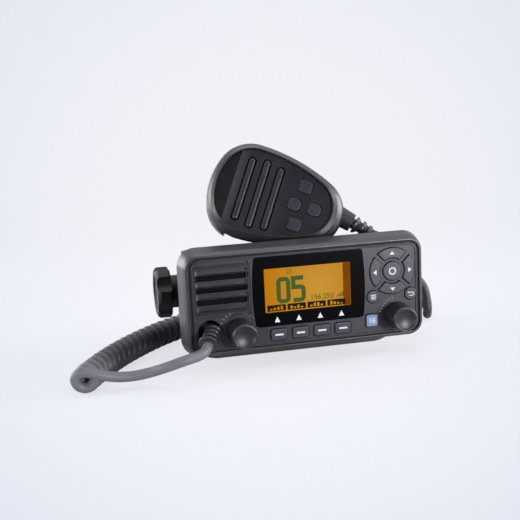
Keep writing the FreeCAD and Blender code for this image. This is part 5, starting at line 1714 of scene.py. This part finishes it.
# ---------------------------------------------------------------- rotary knobs
@dataclass
class RotaryKnob:
    """A control knob with a hollowed cap; a dimple in the cap shows where it points."""

    name: str
    at: Point
    dimple_turn: float
    height: float = 16.0
    foot: float = 8.9
    rim: float = 6.9
    lip: float = 0.3
    dish: float = 1.35
    bore: float = 3.0
    bore_end: float = 11.0
    dimple_radius: float = 1.3
    dimple_at: Point3 = (0.0, 4.9, 15.5)

    def cap(self) -> bpy.types.Object:
        """Turn the knob from its profile and cut the dimple out of its hollow.

        Returns:
            The knob in local millimetres.
        """
        inner, top = self.rim - self.lip, self.height - self.lip
        profile = eased([(self.bore, 0.5, 0.0), (self.foot, 0.5, 0.15), (self.foot, 2.2, 0.3),
                         (8.32, 14.7, 0.5), (7.6, self.height, 0.5), (self.rim, self.height, 0.25),
                         (inner, top, 0.0)])
        for index in range(1, 8):
            share = 1 - index / 8
            profile.append((inner * share, top - self.dish * (1 - share**2)))
        profile += [(AXIS_GAP, top - self.dish), (AXIS_GAP, self.bore_end), (self.bore, self.bore_end)]
        knob = turned(f"{self.name}_cap", profile, 96, Ends.JOINED)
        bpy.ops.object.select_all(action="DESELECT")
        bpy.ops.mesh.primitive_uv_sphere_add(segments=32, ring_count=16, radius=self.dimple_radius,
                                             location=self.dimple_at)
        ball = bpy.context.object
        choose_only(knob)
        hollow = knob.modifiers.new("dimple", "BOOLEAN")
        hollow.object = ball
        hollow.operation = "DIFFERENCE"
        bpy.ops.object.modifier_apply(modifier=hollow.name)
        bpy.data.objects.remove(ball)
        return knob

    def build(self, palette: Palette) -> None:
        """Turn the cap and put it on its shaft.

        Args:
            palette: The materials.
        """
        knob = self.cap()
        settle(knob, shifted(PANEL, *self.at, 0.0, -self.dimple_turn), 40.0)
        hand_over(knob, self.name, "knob_plastic", palette["knob_moulding"], f"{self.name}_knob")


# ---------------------------------------------------------------- microphone
@dataclass
class FistMicrophone:
    """The hand microphone: two shells, the face with its ribs and keys, paddle, hook and boot.

    A slot is its middle and its length, a rib ring its inset and its height, and a boot ring the
    height where its groove starts and its outer radius.
    """

    shell_parts: Sequence[RefinedPart] = (
        RefinedPart("mic_front_shell", "microphone", "housing_plastic", "mic_moulding", 0.8, 3, 9.0),
        RefinedPart("mic_back_shell", "microphone", "housing_plastic", "mic_moulding", 0.8, 3, 9.0),
        RefinedPart("mic_face_plate", "microphone", "lens_plastic", "mic_face_moulding", 0.3, 2),
        RefinedPart("mic_grille", "microphone", "lens_plastic", "dark_recess", 0.0, 2),
    )
    grip_parts: Sequence[RefinedPart] = (
        RefinedPart("mic_ptt", "mic_ptt", "key_rubber", "paddle_rubber", 0.6),
        RefinedPart("mic_hang_button", "microphone", "housing_plastic", "mic_moulding", 0.5),
    )
    slots: Sequence[Point3] = ((-19.6, -0.35, 46.3), (-9.4, -1.0, 50.1), (0.8, -1.5, 46.4))
    rib_half_width: float = 2.0
    rib_rings: Sequence[Point] = ((0.0, -2.8), (0.0, -1.5), (0.25, -0.95), (0.75, -0.6), (1.4, -0.5))
    key_places: Sequence[Point] = ((20.0, 13.1), (15.8, -0.8), (29.7, -0.5), (19.8, -14.3))
    key_corners: Sequence[float] = (2.4, 3.3, 3.3, 2.4)
    key_half: float = 4.4
    boot_at: Point3 = (47.0, 4.2, -13.0)
    boot_turn: float = -12.0
    boot_length: float = 25.0
    boot_neck: float = 3.7
    boot_rings: Sequence[Point] = ((10.6, 6.0), (15.8, 5.5), (20.6, 5.0))

    def ribs(self, palette: Palette) -> None:
        """Crowned ribs in the slots of the face plate.

        Args:
            palette: The materials.
        """
        wide = self.rib_half_width
        for index, (x, y, length) in enumerate(self.slots, start=1):
            half = length / 2 - 1.0
            rings = [level(rounded(wide - inset, half - inset, wide - inset - 0.01, x, y), height)
                     for inset, height in self.rib_rings]
            rib = stack(f"mic_rib_{index}", rings)
            settle(rib, MICROPHONE, 50.0)
            hand_over(rib, "microphone", "lens_plastic", palette["mic_rib_moulding"])

    def keys(self, palette: Palette) -> None:
        """Four rounded square keys, the middle two rounder than the others; dots on the first.

        Args:
            palette: The materials.
        """
        for index, ((x, y), corner) in enumerate(zip(self.key_places, self.key_corners), start=1):
            node = f"mic_key_{index}"
            key = slab(f"{node}_cap", rounded(self.key_half, self.key_half, corner), -3.2, -0.4, 0.7)
            settle(key, shifted(MICROPHONE, x, y))
            hand_over(key, node, "key_rubber", palette["mic_key_rubber"], node)
        dots = []
        for step in range(6):
            outline = circle(0.4, 1.3 * (step % 2 * 2 - 1), 1.9 * (step // 2 - 1), 12)
            dots.append(stack(f"dot_{step}", [level(outline, -0.5), level(outline, -0.3)]))
        symbol = joined("mic_key_1_dots", dots)
        settle(symbol, shifted(MICROPHONE, *self.key_places[0]))
        hand_over(symbol, "mic_key_1", "key_rubber", palette["dark_recess"])

    def boot(self, palette: Palette) -> None:
        """The strain relief: a plain cone first, then rings that leave it free to bend.

        Args:
            palette: The materials.
        """
        corners: list[Point3] = [(0.0, 0.0, 0.0), (6.95, 0.0, 0.2), (6.2, 10.6, 0.3)]
        for start, radius in self.boot_rings:
            corners += [(self.boot_neck, start, 0.1), (self.boot_neck, start + 1.8, 0.1),
                        (radius, start + 1.8, 0.3), (radius - 0.45, start + 3.4, 0.3)]
        corners[-1] = (4.2, self.boot_length, 0.4)
        corners.append((0.0, self.boot_length, 0.0))
        profile = [(max(radius, AXIS_GAP), height) for radius, height in eased(corners, 2)]
        piece = turned("mic_boot", profile, 48)
        sideways = Matrix.Rotation(math.radians(90), 4, "Y")
        turn = Matrix.Rotation(math.radians(self.boot_turn), 4, "Z") @ sideways
        settle(piece, MICROPHONE @ Matrix.Translation(self.boot_at) @ turn, 40.0)
        hand_over(piece, "microphone", "connector_plastic", palette["boot_rubber"], "mic_strain_relief")

    def build(self, palette: Palette) -> None:
        """Build the whole microphone.

        Args:
            palette: The materials.
        """
        for part in self.shell_parts:
            part.build(palette)
        self.ribs(palette)
        self.keys(palette)
        self.boot(palette)
        for part in self.grip_parts:
            part.build(palette)


# ---------------------------------------------------------------- bracket
@dataclass
class GimbalMount:
    """The bracket, its friction pads and the two clamping knobs."""

    parts: Sequence[RefinedPart] = (
        RefinedPart("gimbal_bracket", "bracket", "bracket_paint", "bracket_coat", 0.5),
        RefinedPart("gimbal_pads", "bracket", "pad_rubber", "seal_rubber", 0.3),
        RefinedPart("gimbal_knob_left", "gimbal_knob_left", "knob_plastic", "clamp_moulding", 1.0),
        RefinedPart("gimbal_knob_right", "gimbal_knob_right", "knob_plastic", "clamp_moulding", 1.0),
    )

    def build(self, palette: Palette) -> None:
        """Refine each part and dress it."""
        for part in self.parts:
            part.build(palette)


# ---------------------------------------------------------------- case and connectors
@dataclass
class RadioCase:
    """The chassis with lid, screws and heat sink, and the connectors on the rear wall."""

    parts: Sequence[RefinedPart] = (
        RefinedPart("chassis", "radio", "chassis_paint", "chassis_coat", 0.5, 2),
        RefinedPart("chassis_lid", "radio", "chassis_paint", "chassis_coat", 0.35, 2),
        RefinedPart("lid_screws", "radio", "steel", "bright_steel", 0.12, 2),
        RefinedPart("heat_sink", "radio", "chassis_paint", "chassis_coat", 0.3, 2),
        RefinedPart("power_gland", "radio", "connector_plastic", "clamp_moulding", 0.25, 2),
        RefinedPart("speaker_jack", "radio", "connector_plastic", "clamp_moulding", 0.2, 2),
        RefinedPart("cord_gland", "radio", "connector_plastic", "boot_rubber", 0.3, 2),
    )
    socket_at: Point3 = (51.4, 24.0, 43.0)
    socket_bore: float = 2.0
    socket_length: float = 16.5
    flange_radius: float = 11.0
    thread_root: float = 7.4
    thread_crest: float = 7.85
    thread_pitch: float = 1.06
    thread_run: Point = (2.3, 15.6)

    def build(self, palette: Palette) -> None:
        """Refine each part and dress it, then make the antenna socket.

        Args:
            palette: The materials.
        """
        for part in self.parts:
            part.build(palette)
        self.antenna_socket(palette)

    def antenna_socket(self, palette: Palette) -> None:
        """The threaded socket with its flange, modelled with the crests of its thread.

        Args:
            palette: The materials.
        """
        root, crest, flange = self.thread_root, self.thread_crest, self.flange_radius
        profile: list[Point] = [(self.socket_bore, -4.0), (6.5, -4.0), (6.5, 0.0), (flange, 0.0),
                                (flange, 2.0), (root, 2.0)]
        height, end = self.thread_run
        while height < end:
            profile += [(root, height), (crest, height + 0.4), (crest, height + 0.55),
                        (root, height + 0.95)]
            height += self.thread_pitch
        profile += [(root, self.socket_length - 0.3), (root - 0.4, self.socket_length),
                    (self.socket_bore, self.socket_length)]
        socket = turned("antenna_socket_thread", profile, 64, Ends.JOINED)
        settle(socket, local_frame(self.socket_at, REARWARD))
        hand_over(socket, "radio", "connector_metal", palette["nickel_plate"], "antenna_socket")


# ---------------------------------------------------------------- hidden parts
def dress_solid(solid: bpy.types.Object, material: bpy.types.Material) -> None:
    """Show a solid in one material throughout."""
    for slot in solid.material_slots:
        slot.material = material


@dataclass
class HiddenParts:
    """Solids that show as they are, inside the case or behind other parts, in better materials."""

    finishes: Sequence[tuple[str, Sequence[str]]] = (
        ("bright_steel", ("gimbal_stud_left", "gimbal_stud_right", "volume_shaft", "squelch_shaft",
                          "rf_shield", "speaker_basket")),
        ("lcd_label", ("lcd_module",)),
        ("dust_cloth", ("speaker_mesh", "speaker_cone")),
        ("seal_rubber", ("key_mat",)),
        ("solder_mask", ("front_board", "main_board", "mic_board")),
        ("capsule_can", ("control_pots", "mic_capsule")),
    )
    replaced_finish: str = "housing_moulding"

    def build(self, palette: Palette) -> None:
        """Give each shown solid its material, and those that finished pieces stand for a plain one.

        Args:
            palette: The materials.
        """
        for finish, nodes in self.finishes:
            for node in nodes:
                dress_solid(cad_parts[node], palette[finish])
                LOG.info("%s dressed in %s", node, finish)
        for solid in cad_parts.values():
            if solid.hide_render:
                dress_solid(solid, palette[self.replaced_finish])


def main() -> None:
    """Build the model, sub-assembly by sub-assembly."""
    logging.basicConfig(level=logging.INFO, format="%(message)s")
    palette = Palette()
    Studio().build()
    CurlyCord().build(palette)
    FrontHousing().build(palette)
    FrontPanel().build(palette)
    Keypad().build(palette)
    RotaryKnob("volume", VOLUME_AT, 45.0).build(palette)
    RotaryKnob("squelch", SQUELCH_AT, 0.0).build(palette)
    FistMicrophone().build(palette)
    GimbalMount().build(palette)
    RadioCase().build(palette)
    HiddenParts().build(palette)


if __name__ == "__main__":
    main()
